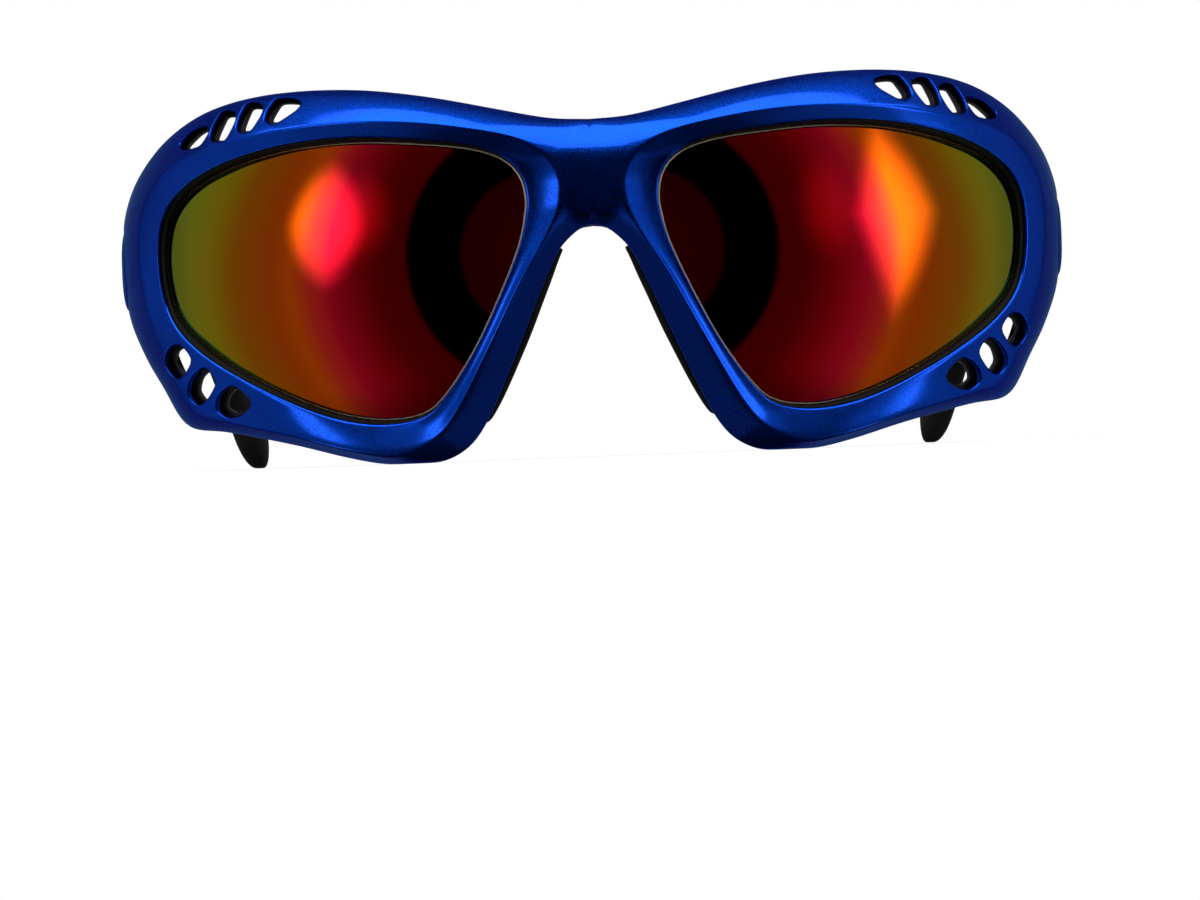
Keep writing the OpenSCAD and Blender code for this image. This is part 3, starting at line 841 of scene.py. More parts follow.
@dataclass(frozen=True)
class Marks:
    """What each vertex of the rim's sheet keeps about its place."""

    along: bmesh.types.BMLayerItem
    across: bmesh.types.BMLayerItem
    reach: bmesh.types.BMLayerItem
    leaning: bmesh.types.BMLayerItem
    at_vent: bmesh.types.BMLayerItem

    @classmethod
    def on(cls, bm: BMesh) -> "Marks":
        """Adds the marks to a mesh, or finds them there.

        Args:
            bm: the mesh.

        Returns:
            The marks.
        """
        floats, ints = bm.verts.layers.float, bm.verts.layers.int
        found = [floats.get(name) or floats.new(name) for name in ("along", "across", "reach", "leaning")]
        return cls(*found, ints.get("at_vent") or ints.new("at_vent"))


@dataclass
class RimSheet:
    """A grid that covers the rim's face, with the vents' holes and the temple's notch worked into it."""

    surface: RimSurface
    vent_growth: float = 0.6
    rim: float = 0.35
    smoothing: int = 90
    notch_span: Pair = (9.5, 11.2)
    notch_long: float = 7.3
    notch_half: float = 6.6
    notch_back: float = 3.2

    def build(self) -> tuple[BMesh, list[list[BMFace]]]:
        """Builds the right-hand half in millimetres.

        Returns:
            The mesh, and the faces inside each vent.
        """
        columns = column_places()
        across, along = len(ROWS) - 1, len(columns) - 1
        bm = bmesh.new()
        marks = Marks.on(bm)
        bmesh.ops.create_grid(bm, x_segments=along, y_segments=across, size=1.0)
        grid = {(round((v.co.x + 1) / 2 * along), round((v.co.y + 1) / 2 * across)): v for v in bm.verts}
        for vertex in bm.verts:
            vertex.co = (0.0, 0.0, 0.0)
        pinned = self._pin(grid, columns)
        loose = [v for key, v in grid.items()
                 if key not in pinned and 0 < key[0] < along and 0 < key[1] < across]
        for _ in range(self.smoothing):
            relax(bm, loose, "XYZ")
        blocks = [self._block(grid, columns, vent) for vent in VENTS]
        for (column, row), vertex in grid.items():
            s, t = columns[column] + vertex.co.x, max(0.0, min(3.0, ROWS[row] + vertex.co.y))
            vertex[marks.leaning] = vertex.co.z
            vertex[marks.along] = s
            vertex.co = self.surface.at(s, t)
            vertex[marks.reach] = (vertex.co - self.surface.at(s, 0.0)).length
            vertex[marks.across] = t
        bmesh.ops.remove_doubles(bm, verts=[v for k, v in grid.items() if k[0] in (0, along)], dist=1e-4)
        return bm, blocks

    def _columns_of(self, columns: Sequence[float], vent: Vent) -> tuple[int, int]:
        """Finds the first and last grid column of a vent's block.

        Args:
            columns: the columns' places along the rim.
            vent: the vent.

        Returns:
            The two columns' numbers.
        """
        last = len(columns) - 1
        first = min(range(last + 1), key=lambda k: abs(
            (columns[k] + columns[min(k + VENT_COLUMNS, last)]) / 2 - vent.middle))
        return first, first + VENT_COLUMNS

    def _block(self, grid: Grid, columns: Sequence[float], vent: Vent) -> list[BMFace]:
        """Finds the faces of a vent's block.

        Args:
            grid: the vertices by column and row.
            columns: the columns' places along the rim.
            vent: the vent.

        Returns:
            The block's faces.
        """
        first, last = self._columns_of(columns, vent)
        low, high = vent.rows
        corners = {grid[c, r] for c in range(first, last + 1) for r in range(low, high + 1)}
        return [f for f in {f for v in corners for f in v.link_faces} if all(v in corners for v in f.verts)]

    def _pin(self, grid: Grid, columns: Sequence[float]) -> set[tuple[int, int]]:
        """Moves the grid's points round each vent and along the notch to their outlines.

        Args:
            grid: the vertices by column and row, which hold how far each is moved along and across.
            columns: the columns' places along the rim.

        Returns:
            The columns and rows of the points that stay where they are put.
        """
        pinned = set()
        for vent in VENTS:
            first, last = self._columns_of(columns, vent)
            low, high = vent.rows
            loop = [(c, low) for c in range(first, last)] + [(last, r) for r in range(low, high)] \
                + [(c, high) for c in range(last, first, -1)] + [(first, r) for r in range(high, low, -1)]
            sides = (last - first, high - low, last - first, high - low)
            for key, (u, v) in zip(loop, self._outline(vent, sides)):
                goal = (u, v + BALL.mid_z)
                s, t = self.surface.locate(goal, lambda p: (p.x, p.z), columns[key[0]], ROWS[key[1]])
                grid[key].co = (s - columns[key[0]], t - ROWS[key[1]], 1.0)
                pinned.add(key)
        return pinned | self._pin_notch(grid, columns)

    def _outline(self, vent: Vent, sides: Sequence[int]) -> list[Pair]:
        """Points round a vent's grown outline, as many on each side as the block has faces there.

        Args:
            vent: the vent.
            sides: how many faces the block has on each side.

        Returns:
            The points in order, each as across and up.
        """
        points = [Vector(p) for p in vent.outline]
        count = len(points)
        middle = sum(points, Vector((0.0, 0.0))) / count
        grown = self.vent_growth + self.rim
        found = []
        for side, faces in enumerate(sides):
            start, stop = vent.turns[side], vent.turns[(side + 1) % 4]
            legs = (stop - start - 1) % count + 1
            chain = [points[(start + k) % count] for k in range(legs + 1)]
            lengths = [(b - a).length for a, b in zip(chain, chain[1:])]
            for step in range(faces):
                left = sum(lengths) * step / faces
                leg = 0
                while left > lengths[leg] and leg < len(lengths) - 1:
                    left -= lengths[leg]
                    leg += 1
                way = (chain[leg + 1] - chain[leg]).normalized()
                here = chain[leg] + way * left
                normal = Vector((way.y, -way.x))
                if step == 0:
                    before = (points[start] - points[start - 1]).normalized()
                    normal = (normal + Vector((before.y, -before.x))).normalized()
                if normal.dot(here - middle) < 0:
                    normal = -normal
                found.append(tuple(here + normal * grown))
        return found

    def _pin_notch(self, grid: Grid, columns: Sequence[float]) -> set[tuple[int, int]]:
        """Draws the outer row in round the temple's nose.

        Args:
            grid: the vertices by column and row.
            columns: the columns' places along the rim.

        Returns:
            The columns and rows that were moved.
        """
        last_row = len(ROWS) - 1
        inside = [k for k, s in enumerate(columns) if self.notch_span[0] < s < self.notch_span[1]]
        pinned = set()
        centre_y = HINGE.y - self.notch_back
        for place, column in enumerate(inside):
            turn = math.pi * (0.5 - place / (len(inside) - 1))
            goal = (centre_y - self.notch_long * math.cos(turn), HINGE.z + self.notch_half * math.sin(turn))
            s, t = self.surface.locate(goal, lambda p: (p.y, p.z), columns[column], 2.0)
            t = 3.0 if t > 2.97 else t
            grid[column, last_row].co = (s - columns[column], t - 3.0, 0.0)
            pinned.add((column, last_row))
        return pinned


@dataclass
class Front:
    """The blue shell and the black liner behind it."""

    finishes: Finishes
    wall: float = 1.8
    lip: float = 0.6
    gap: float = 0.1
    depth: float = 4.4
    edge_inset: float = 0.4
    edge_fade: float = 3.0
    bridge_half: float = 4.4
    bridge_from: float = 1.3
    bridge_smoothing: int = 8
    lean: float = math.tan(math.radians(16))
    seam: float = 1e-3
    upper_tip: float = -0.05
    lower_tip: float = 0.06
    lip_span: Pair = (0.9, 2.4)
    channel: float = 1.5
    channel_end: float = 2.9
    waist: float = 1.5
    thin_fall: float = 0.35
    fall_span: Pair = (1.0, 2.2)
    outer_rise: float = 0.5
    outer_span: Pair = (2.2, 3.0)
    lug_size: Point = (3.2, 4.0, 10.0)
    lug_inset: float = 2.6
    lug_back: float = 2.75
    lug_round: float = 0.35

    def _lean(self, point: Vector) -> Vector:
        """The direction that a vent runs back in at a point of the right-hand half.

        Args:
            point: the point.

        Returns:
            The direction.
        """
        if point.z > BALL.mid_z:
            return Vector((-self.lean / 2, 1.0, self.upper_tip)).normalized()
        return Vector((-self.lean, 1.0, self.lower_tip)).normalized()

    def _way(self, point: Vector, leaning: float) -> Vector:
        """The way from the face to the inside: straight into the ball, or along a vent beside it."""
        return (-BALL.outward(point)).lerp(self._lean(point), max(0.0, min(1.0, leaning))).normalized()

    def _sunk(self, point: Vector, leaning: float, height: float) -> Vector:
        """Sinks a point along its way until it has a given height above the ball.

        Args:
            point: the point.
            leaning: how much its way leans along a vent, 0 to 1.
            height: the height that is wanted.

        Returns:
            The sunk point.
        """
        way = self._way(point, leaning)
        for _ in range(4):
            point = point + way * (BALL.height(point) - height) / max(0.3, -way.dot(BALL.outward(point)))
        return point

    def _wall_at(self, reach: float) -> float:
        """The shell's thickness at a distance from the opening."""
        return self.lip + (self.wall - self.lip) * eased(reach, *self.lip_span)

    def _rear(self, s: float, reach: float, t: float) -> float:
        """The height of the liner's rear face: a channel round the seal, and thin behind the vents.

        Args:
            s: the place along the rim, in sections.
            reach: the distance from the opening.
            t: the place across the rim.

        Returns:
            The height above the ball.
        """
        outer = eased(t, *self.outer_span)
        raised = window(s, *THIN_BACK) * eased(reach, self.channel, self.channel_end)
        raised = raised * (1.0 - self.thin_fall * eased(t, *self.fall_span)) * (1.0 - outer)
        return -self.depth + raised * (self.depth - self.waist) + self.outer_rise * outer

    def _open_vents(self, bm: BMesh, blocks: Sequence[list[BMFace]], rim: float) -> list[BMVert]:
        """Opens the vents.

        Args:
            bm: the mesh.
            blocks: each vent's faces.
            rim: the width of the rounded rim that is left round each hole.

        Returns:
            The vertices round the holes.
        """
        round_holes: list[BMVert] = []
        for block in blocks:
            bmesh.ops.inset_region(bm, faces=block, thickness=rim, depth=0.0, use_even_offset=True)
            hole = {v for f in block for v in f.verts if any(g not in block for g in v.link_faces)}
            bmesh.ops.delete(bm, geom=block, context="FACES")
            round_holes += [v for v in hole if v.is_valid]
        return round_holes

    def _sheet(self, sheet: RimSheet) -> tuple[BMesh, Marks]:
        """Builds both halves with their vents open, and marks where each point lies.

        Args:
            sheet: the right-hand half's grid.

        Returns:
            The mesh and its marks.
        """
        bm, blocks = sheet.build()
        marks = Marks.on(bm)
        for vertex in self._open_vents(bm, blocks, sheet.rim):
            vertex[marks.at_vent] = 1
            vertex[marks.leaning] = 1.0
        self._mirror(bm, marks)
        bmesh.ops.recalc_face_normals(bm, faces=bm.faces)
        return bm, marks

    def _mirror(self, bm: BMesh, marks: Marks) -> None:
        """Adds the left-hand half and joins the two at the bridge.

        Args:
            bm: the right-hand half's mesh.
            marks: its marks.
        """
        for vertex in bm.verts:
            if abs(vertex.co.x) < self.seam:
                vertex.co.x = 0.0
        bmesh.ops.mirror(bm, geom=bm.verts[:] + bm.edges[:] + bm.faces[:], axis="X", merge_dist=self.seam)
        bridge = [v for v in bm.verts
                  if abs(v.co.x) < self.bridge_half and v[marks.across] > self.bridge_from]
        inside = [v for v in bridge if not v.is_boundary]
        for _ in range(self.bridge_smoothing):
            relax(bm, inside, "Y")
            for vertex in bridge:
                if vertex.is_boundary:
                    beside = [e.other_vert(vertex).co for e in vertex.link_edges if e.is_boundary]
                    middle = sum(beside, Vector()) / len(beside)
                    vertex.co.y = (vertex.co.y + middle.y) / 2
                    vertex.co.z = (vertex.co.z + middle.z) / 2

    def _mirrored(self, point: Vector, act: Callable[[Vector], Vector]) -> Vector:
        """Does something to a point of either half as if it were in the right-hand half."""
        moved = act(Vector((abs(point.x), point.y, point.z)))
        return Vector((math.copysign(moved.x, point.x) if abs(point.x) > 1e-4 else 0.0, moved.y, moved.z))

    def _keep_in(self, bm: BMesh) -> None:
        """Keeps every point above the surface that the part stands on, and before its rear plane."""
        for vertex in bm.verts:
            vertex.co = self._mirrored(vertex.co, BALL.kept_in)

    def shell(self) -> bpy.types.Object:
        """Builds the lacquered shell.

        Returns:
            The finished piece.
        """
        bm, marks = self._sheet(RimSheet(RimSurface()))
        grown = bmesh.ops.extrude_face_region(bm, geom=bm.faces[:])["geom"]
        for vertex in (v for v in grown if isinstance(v, BMVert)):
            wall, leaning = self._wall_at(vertex[marks.reach]), vertex[marks.leaning]
            vertex.co = self._mirrored(vertex.co, lambda p: self._sunk(p, leaning, BALL.height(p) - wall))
        self._keep_in(bm)
        return hand_over(bm, "front_shell_lacquered", [self.finishes.lacquer], "front",
                         ["front_shell"], 1)

    def liner(self) -> bpy.types.Object:
        """Builds the black liner.

        Returns:
            The finished piece.
        """
        bm, marks = self._sheet(RimSheet(RimSurface(lip_shift=self.lip_span[0]), vent_growth=0.0))
        outer = [v for v in bm.verts if v.is_boundary and not v[marks.at_vent]
                 and v[marks.across] > 2.0 and abs(v.co.x) > self.seam]
        for vertex in outer:
            inward = sum((e.other_vert(vertex).co - vertex.co for e in vertex.link_edges
                          if not e.is_boundary), Vector()).normalized()
            vertex.co += inward * self.edge_inset * min(1.0, abs(vertex.co.x) / self.edge_fade)
        grown = bmesh.ops.extrude_face_region(bm, geom=bm.faces[:])["geom"]
        back = {v for v in grown if isinstance(v, BMVert)}
        for vertex in bm.verts:
            reach, leaning = vertex[marks.reach] + self.lip_span[0], vertex[marks.leaning]
            under = self._wall_at(reach) + self.gap
            rear = self._rear(vertex[marks.along], reach, vertex[marks.across]) if vertex in back else None
            vertex.co = self._mirrored(vertex.co, lambda p: self._sunk(
                p, leaning, BALL.height(p) - under if rear is None else rear))
        self._keep_in(bm)
        for side in Side:
            self._lug(bm, side)
        return hand_over(bm, "front_liner_moulded", [self.finishes.black], "front",
                         ["front_liner"], 1)

    def _lug(self, bm: BMesh, side: Side) -> None:
        """Adds the block that holds a hinge fork's anchor.

        Args:
            bm: the liner's mesh.
            side: the side that the block is on.
        """
        wide, long, _ = self.lug_size
        x, y = HINGE.x - self.lug_inset + wide / 2, HINGE.y - self.lug_back - long / 2
        made = box(bm, self.lug_size, (side.value * x, y, HINGE.z))
        round_off(bm, list({e for v in made for e in v.link_edges}), self.lug_round)


@dataclass
class Lens:
    """One lens with its polished edge, and the seal round it."""

    finishes: Finishes
    side: Side
    thick: float = 2.0
    reach: float = 0.7
    inside: float = 0.06
    bevel: float = 0.22
    steps: int = 168
    front_shares: tuple[float, ...] = (0.02, *(0.06 + 0.047 * k for k in range(20)))
    back_shares: tuple[float, ...] = (0.97, 0.9, 0.8, 0.7, 0.6, 0.5, 0.4, 0.3, 0.2, 0.1, 0.04)
    middle: Pair = (38.0, 1.0)
    seal_show: float = 0.08
    show_span: Pair = (22.0, 40.0)
    seal_under: float = 0.72
    seal_reach: float = 0.85
    seal_lip: float = 1.3
    seal_gap: float = 0.03

    def _loop(self, reach: Along, rise: Along) -> list[Vector]:
        """Draws a loop beside the opening.

        Args:
            reach: how far outside the opening it lies, fixed or changing along it.
            rise: its height above the ball, fixed or changing along it.

        Returns:
            The loop's points.
        """
        surface = RimSurface()
        places = [len(SECTIONS) * k / self.steps for k in range(self.steps)]
        return [surface.beside(s, amount(reach, s), amount(rise, s)) for s in places]

    def _shrunk(self, loop: Sequence[Vector], share: float, rise: float) -> list[Vector]:
        """Draws a loop in towards the lens's middle.

        Args:
            loop: the loop.
            share: how much of its size is kept.
            rise: its height above the ball.

        Returns:
            The new loop's points.
        """
        across, up = self.middle[0], self.middle[1] + BALL.mid_z
        return [BALL.place(Vector((across + (point.x - across) * share,
                                   up + (point.z - up) * share - BALL.mid_z, rise))) for point in loop]

    def glass(self) -> bpy.types.Object:
        """Builds the lens.

        Returns:
            The finished piece.
        """
        front = self._loop(lambda s: -self._show(s) - self.inside - self.bevel, 0.0)
        edge = self._loop(lambda s: -self._show(s) - self.inside, -self.bevel)
        back = self._loop(self.reach, -self.thick)
        rings = [self._shrunk(front, share, 0.0) for share in self.front_shares] + [front, edge]
        rings += [self._loop(self.reach, -self.bevel), back]
        rings += [self._shrunk(back, share, -self.thick) for share in self.back_shares]
        bm = bmesh.new()
        # polished: the bevelled edge faces, whose colour holds a painted highlight and painted shade.
        mirror, polished, tint = range(3)
        loft(bm, rings, [mirror] * (len(self.front_shares) + 1) + [polished]
             + [tint] * (len(self.back_shares) + 2))
        materials = [self.finishes.mirror, self.finishes.edge, self.finishes.tint]
        return hand_over(bm, f"lens_{self.side.word}_mirrored", materials, "front",
                         [f"lens_{self.side.word}"], 0, self.side)

    def _show(self, s: float) -> float:
        """How far the seal shows inside the opening: nothing at the nose."""
        return self.seal_show * eased(RimSurface().drawn(s, OPENING).x, *self.show_span)

    def seal(self) -> bpy.types.Object:
        """Builds the seal: a channel round the lens's edge.

        Returns:
            The finished piece.
        """
        def top(s: float) -> float:
            """The height just under the shell's lip."""
            return RimSurface().drawn(s, OPENING).z - self.seal_under

        def inner(s: float) -> float:
            """How far the seal shows, as a reach into the opening."""
            return -self._show(s)

        back, foot = -self.thick - self.seal_gap, -self.thick - self.seal_lip
        profile: tuple[tuple[Along, Along], ...] = (
            (inner, 0.04), (inner, lambda s: 0.36 * top(s)),
            (lambda s: 0.5 * inner(s), lambda s: 0.72 * top(s)), (0.02, top), (self.seal_reach, top),
            (self.seal_reach, foot), (-0.3, foot), (-0.45, -self.thick - 0.6), (-0.3, back),
            (self.reach + self.seal_gap, back), (self.reach + self.seal_gap, -self.bevel + 0.04))
        bm = bmesh.new()
        first, last = loft(bm, [self._loop(reach, rise) for reach, rise in profile], capped=False)
        bmesh.ops.bridge_loops(bm, edges=ring_edges(bm, first) + ring_edges(bm, last))
        return hand_over(bm, f"lens_seal_{self.side.word}_soft", [self.finishes.rubber], "front",
                         [f"lens_seal_{self.side.word}"], 0, self.side)


@dataclass
class NosePad:
    """One soft pad along the shell's edge beside the nose."""

    finishes: Finishes
    side: Side
    first: float = 20.0
    last: float = 23.0
    end: float = 0.07
    out: float = 2.4
    least_out: float = 0.35
    inner: float = -2.4
    inner_swell: float = -3.4
    inner_top: float = -3.2
    deep: float = 11.0
    least_deep: float = 0.3
    liner: float = 4.4
    steps: int = 16

    def _ring(self, share: float) -> list[Vector]:
        """Draws the pad's section.

        Args:
            share: the place along the pad, 0 to 1.

        Returns:
            The section's points.
        """
        surface = RimSurface()
        s = self.first + (self.last - self.first) * share
        edge = BALL.place(surface.drawn(s, OUTER))
        slope = edge - BALL.place(surface.drawn(s, OUTER - 1))
        outwards = Vector((slope.x, 0.0, slope.z)) / slope.length
        swell = math.sin(math.pi * (self.end + (1.0 - 2 * self.end) * share))
        out = self.out * (self.least_out + (1.0 - self.least_out) * swell)
        deep = self.liner + (self.deep - self.liner) * (self.least_deep + (1.0 - self.least_deep) * swell)
        half, top = -(self.liner + deep) / 2, -self.liner - 0.1
        drawn = ((0.1, -self.liner + 0.9), (0.7 * out, -self.liner), (out, half), (0.6 * out, -deep),
                 (self.inner, -deep), (self.inner_swell, half), (self.inner_top, top), (0.05, top))
        points = [edge + reach * outwards for reach, _ in drawn]
        return [BALL.raised(point, rise - BALL.height(point)) for point, (_, rise) in zip(points, drawn)]

    def build(self) -> bpy.types.Object:
        """Builds the pad.

        Returns:
            The finished piece.
        """
        bm = bmesh.new()
        loft(bm, [self._ring(k / self.steps) for k in range(self.steps + 1)])
        return hand_over(bm, f"nose_pad_{self.side.word}_soft", [self.finishes.rubber], "front",
                         [f"nose_pad_{self.side.word}"], 2, self.side)


# The sleeve's size at shares of its length
SLEEVE_SIZES: tuple[Pair, ...] = (
    (0.0, 0.72), (0.012, 0.84), (0.05, 0.95), (0.12, 0.99), (0.2, 1.0), (0.3, 1.0), (0.4, 1.0),
    (0.5, 1.0), (0.6, 1.0), (0.7, 1.0), (0.8, 0.99), (0.87, 0.96), (0.92, 0.88), (0.96, 0.74),
    (0.985, 0.58), (1.0, 0.42))


@dataclass
class Temple:
    """One temple with its rounded nose, the rubber grip inside it and the sleeve on its tip."""

    finishes: Finishes
    side: Side
    hinge: Vector = field(default_factory=HINGE.copy)
    length: float = 118.0
    inset: float = 3.57
    thick: float = 4.4
    high: float = 12.6
    middle_high: float = 8.0
    nose_back: float = -3.2
    nose_long: float = 7.0
    nose_thick: float = 1.4
    nose_steps: int = 8
    nose_full: float = 0.995
    nose_bend: float = -2.7
    nose_curl: float = 0.036
    neck: tuple[float, ...] = (-1.0, 1.0)
    body_at: float = 1.95
    leaf_end: float = 13.3
    spans: tuple[float, ...] = (16.0, 22.0, 28.0, 34.0, 40.0, 46.0, 52.0, 58.0, 62.0, 66.0)
    pocket_rim: float = 0.15
    pocket_deep: float = 0.7
    bend_at: float = 58.0
    bow: float = 9.0
    drop: float = 30.17
    drop_power: float = 1.6
    core: Pair = (1.3, 2.3)
    core_long: float = 4.0
    sleeve_at: float = 70.0
    sleeve_gap: float = 0.1
    sleeve_high: float = 9.0
    sleeve_thick: float = 6.0
    grip_at: float = 22.0
    grip_long: float = 34.0
    grip_thick: float = 1.5
    grip_high: float = 5.0
    grip_round: float = 2.4
    grip_sunk: float = 0.35
    ribs: int = 9
    rib_size: Point = (0.5, 1.1, 3.4)
    rib_apart: float = 3.1
    rib_out: float = 0.85
    rib_round: float = 0.16
    crown: float = 0.35
    sides: int = 16

    @property
    def body(self) -> str:
        """The CAD body that the temple is on."""
        return f"temple_arm_{self.side.word}"

    def outer_face(self, back: float) -> float:
        """How far outside the hinge's axis the temple's outer face lies.

        Args:
            back: the distance behind the hinge's axis.

        Returns:
            The distance outside the axis.
        """
        if back < self.nose_bend:
            return self.inset - self.nose_curl * (back - self.nose_bend) ** 2
        return self.inset - self.bow * (max(0.0, back) / self.length) ** 2

    def down(self, back: float) -> float:
        """How far the temple's middle line has dropped.

        Args:
            back: the distance behind the hinge's axis.

        Returns:
            The drop.
        """
        if back <= self.bend_at:
            return 0.0
        return self.drop * ((back - self.bend_at) / (self.length - self.bend_at)) ** self.drop_power

    def line(self, back: float) -> Vector:
        """The bar's middle line."""
        return self.hinge + Vector((self.outer_face(back) - self.thick / 2, back, -self.down(back)))

    def up(self, back: float) -> Vector:
        """The direction across the bar's height."""
        along = (self.line(back + 0.5) - self.line(back - 0.5)).normalized()
        return Vector((1.0, 0.0, 0.0)).cross(along).normalized()

    def half_high(self, back: float) -> float:
        """Half the bar's height."""
        return (self.high + (self.middle_high - self.high) * eased(back, 0.0, self.bend_at - 8.0)) / 2

    def _ring(self, centre: Vector, up: Vector, half_thick: float, half_high: float,
              roundness: float = 0.6) -> list[Vector]:
        """Draws a rounded section with a slightly crowned outer face.

        Args:
            centre: its middle.
            up: the direction of its height.
            half_thick: half its thickness.
            half_high: half its height.
            roundness: how round it is, 1 for an oval and less for squarer.

        Returns:
            The section's points.
        """
        found = []
        for k in range(self.sides):
            turn = 2 * math.pi * (k + 0.5) / self.sides
            x = math.copysign(abs(math.cos(turn)) ** roundness, math.cos(turn))
            z = math.copysign(abs(math.sin(turn)) ** roundness, math.sin(turn))
            across = x * half_thick - (self.crown * z * z if x > 0.0 else 0.0)
            found.append(centre + Vector((across, 0.0, 0.0)) + up * (z * half_high))
        return found

    def _ring_at(self, back: float, half_thick: float, half_high: float,
                 roundness: float = 0.6) -> list[Vector]:
        """A section square to the bar's middle line."""
        return self._ring(self.line(back), self.up(back), half_thick, half_high, roundness)

    def _nose_ring(self, back: float, half_high: float) -> list[Vector]:
        """A section of the rounded nose."""
        centre = self.hinge + Vector((self.outer_face(back) - self.nose_thick / 2, back, 0.0))
        return self._ring(centre, Vector((0.0, 0.0, 1.0)), self.nose_thick / 2, half_high)

    def bar(self) -> bpy.types.Object:
        """Builds the lacquered temple, from its nose to where it goes into the sleeve.

        Returns:
            The finished piece.
        """
        rings = []
        for k in range(self.nose_steps + 1):
            turn = math.pi / 2 * k / self.nose_steps
            back = self.nose_back - self.nose_long * math.cos(turn) * self.nose_full
            run = max(0.0, 1.0 - ((self.nose_back - back) / self.nose_long) ** 2)
            rings.append(self._nose_ring(back, self.high / 2 * math.sqrt(run)))
        rings += [self._nose_ring(back, self.high / 2) for back in (*self.neck, self.body_at - 0.15)]
        places = (self.body_at, self.body_at + 0.3, 4.0, 7.0, 11.0, self.leaf_end, *self.spans,
                  self.sleeve_at - 0.6, self.sleeve_at - 0.1)
        rings += [self._ring_at(back, self.thick / 2, self.half_high(back)) for back in places]
        ends = (self.sleeve_at, self.sleeve_at + self.core_long)
        rings += [self._ring_at(back, *self.core) for back in ends]
        bm = bmesh.new()
        loft(bm, rings)
        self._cut_pocket(bm)
        return hand_over(bm, f"temple_{self.side.word}_lacquered", [self.finishes.lacquer], self.body,
                         [f"temple_{self.side.word}"], 2, self.side)

    def _cut_pocket(self, bm: BMesh) -> None:
        """Sinks the pocket for the hinge's leaf into the bar's inner face.

        Args:
            bm: the bar's mesh.
        """
        inner = []
        for face in bm.faces:
            middle = face.calc_center_median() - self.hinge
            if self.body_at < middle.y < self.leaf_end and abs(middle.z) < 1.0 and middle.x < 0.0:
                inner.append(face)
        bmesh.ops.recalc_face_normals(bm, faces=bm.faces)
        bmesh.ops.inset_region(bm, faces=inner, thickness=self.pocket_rim, depth=-self.pocket_deep)

    def sleeve(self) -> bpy.types.Object:
        """Builds the rubber sleeve, which thins to a rounded tip.

        Returns:
            The finished piece.
        """
        start = self.sleeve_at + self.sleeve_gap
        rings = []
        for share, size in SLEEVE_SIZES:
            places = self._ring_at(start + (self.length - start) * share, size * self.sleeve_thick / 2,
                                   size * self.sleeve_high / 2, 0.7)
            rings.append([Vector((p.x, p.y, max(p.z, 0.0))) for p in places])
        bm = bmesh.new()
        loft(bm, rings)
        return hand_over(bm, f"temple_tip_{self.side.word}_rubber", [self.finishes.rubber], self.body,
                         [f"temple_tip_{self.side.word}"], 2, self.side)

    def grip(self) -> bpy.types.Object:
        """Builds the ribbed rubber grip in the temple's inner face.

        Returns:
            The finished piece.
        """
        bm = bmesh.new()
        end = self.grip_at + self.grip_long
        centre = (self.line(self.grip_at) + self.line(end)) / 2
        fall = math.atan((self.outer_face(self.grip_at) - self.outer_face(end)) / self.grip_long)
        box(bm, (self.grip_thick, self.grip_long, self.grip_high))
        corners = [e for e in bm.edges if abs(e.verts[0].co.x - e.verts[1].co.x) > self.grip_thick / 2]
        round_off(bm, corners, self.grip_round, 6)
        for k in range(self.ribs):
            box(bm, self.rib_size, (-self.rib_out, (k - self.ribs // 2) * self.rib_apart, 0.0))
        round_off(bm, [e for e in bm.edges if e.calc_face_angle(0.0) > 0.6], self.rib_round)
        bmesh.ops.rotate(bm, cent=(0.0, 0.0, 0.0), matrix=Matrix.Rotation(fall, 3, "Z"), verts=bm.verts)
        inwards = Vector((self.thick / 2 - self.grip_sunk, 0.0, 0.0))
        bmesh.ops.translate(bm, vec=centre - inwards, verts=bm.verts)
        return hand_over(bm, f"temple_grip_{self.side.word}_ribbed", [self.finishes.rubber], self.body,
                         [f"temple_grip_{self.side.word}"], 0, self.side)


@dataclass
class Hinges:
    """The metal hinge pieces, whose CAD solids are kept and given their steel."""

    finishes: Finishes

    def dress(self) -> None:
        """Gives each metal node its finish."""
        for name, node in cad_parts.items():
            if name.startswith(("hinge_", "leaf_screws_")):
                node.data.materials.clear()
                node.data.materials.append(self.finishes.steel)
                log.info("%s: steel", name)


# Studio


@dataclass(frozen=True)
class Panel:
    """A panel of light in the room: its middle and half its size, in degrees round the sunglasses.

    Soft is the share of it that fades out, and a higher corner makes its corners squarer.
    """

    turn: float
    rise: float
    half_wide: float
    half_high: float
    strength: float
    soft: float
    corner: float = 2.0


ALL_BUT_GLOSSY = ("camera", "diffuse", "shadow", "transmission")
WHITE = (1.0, 1.0, 1.0)


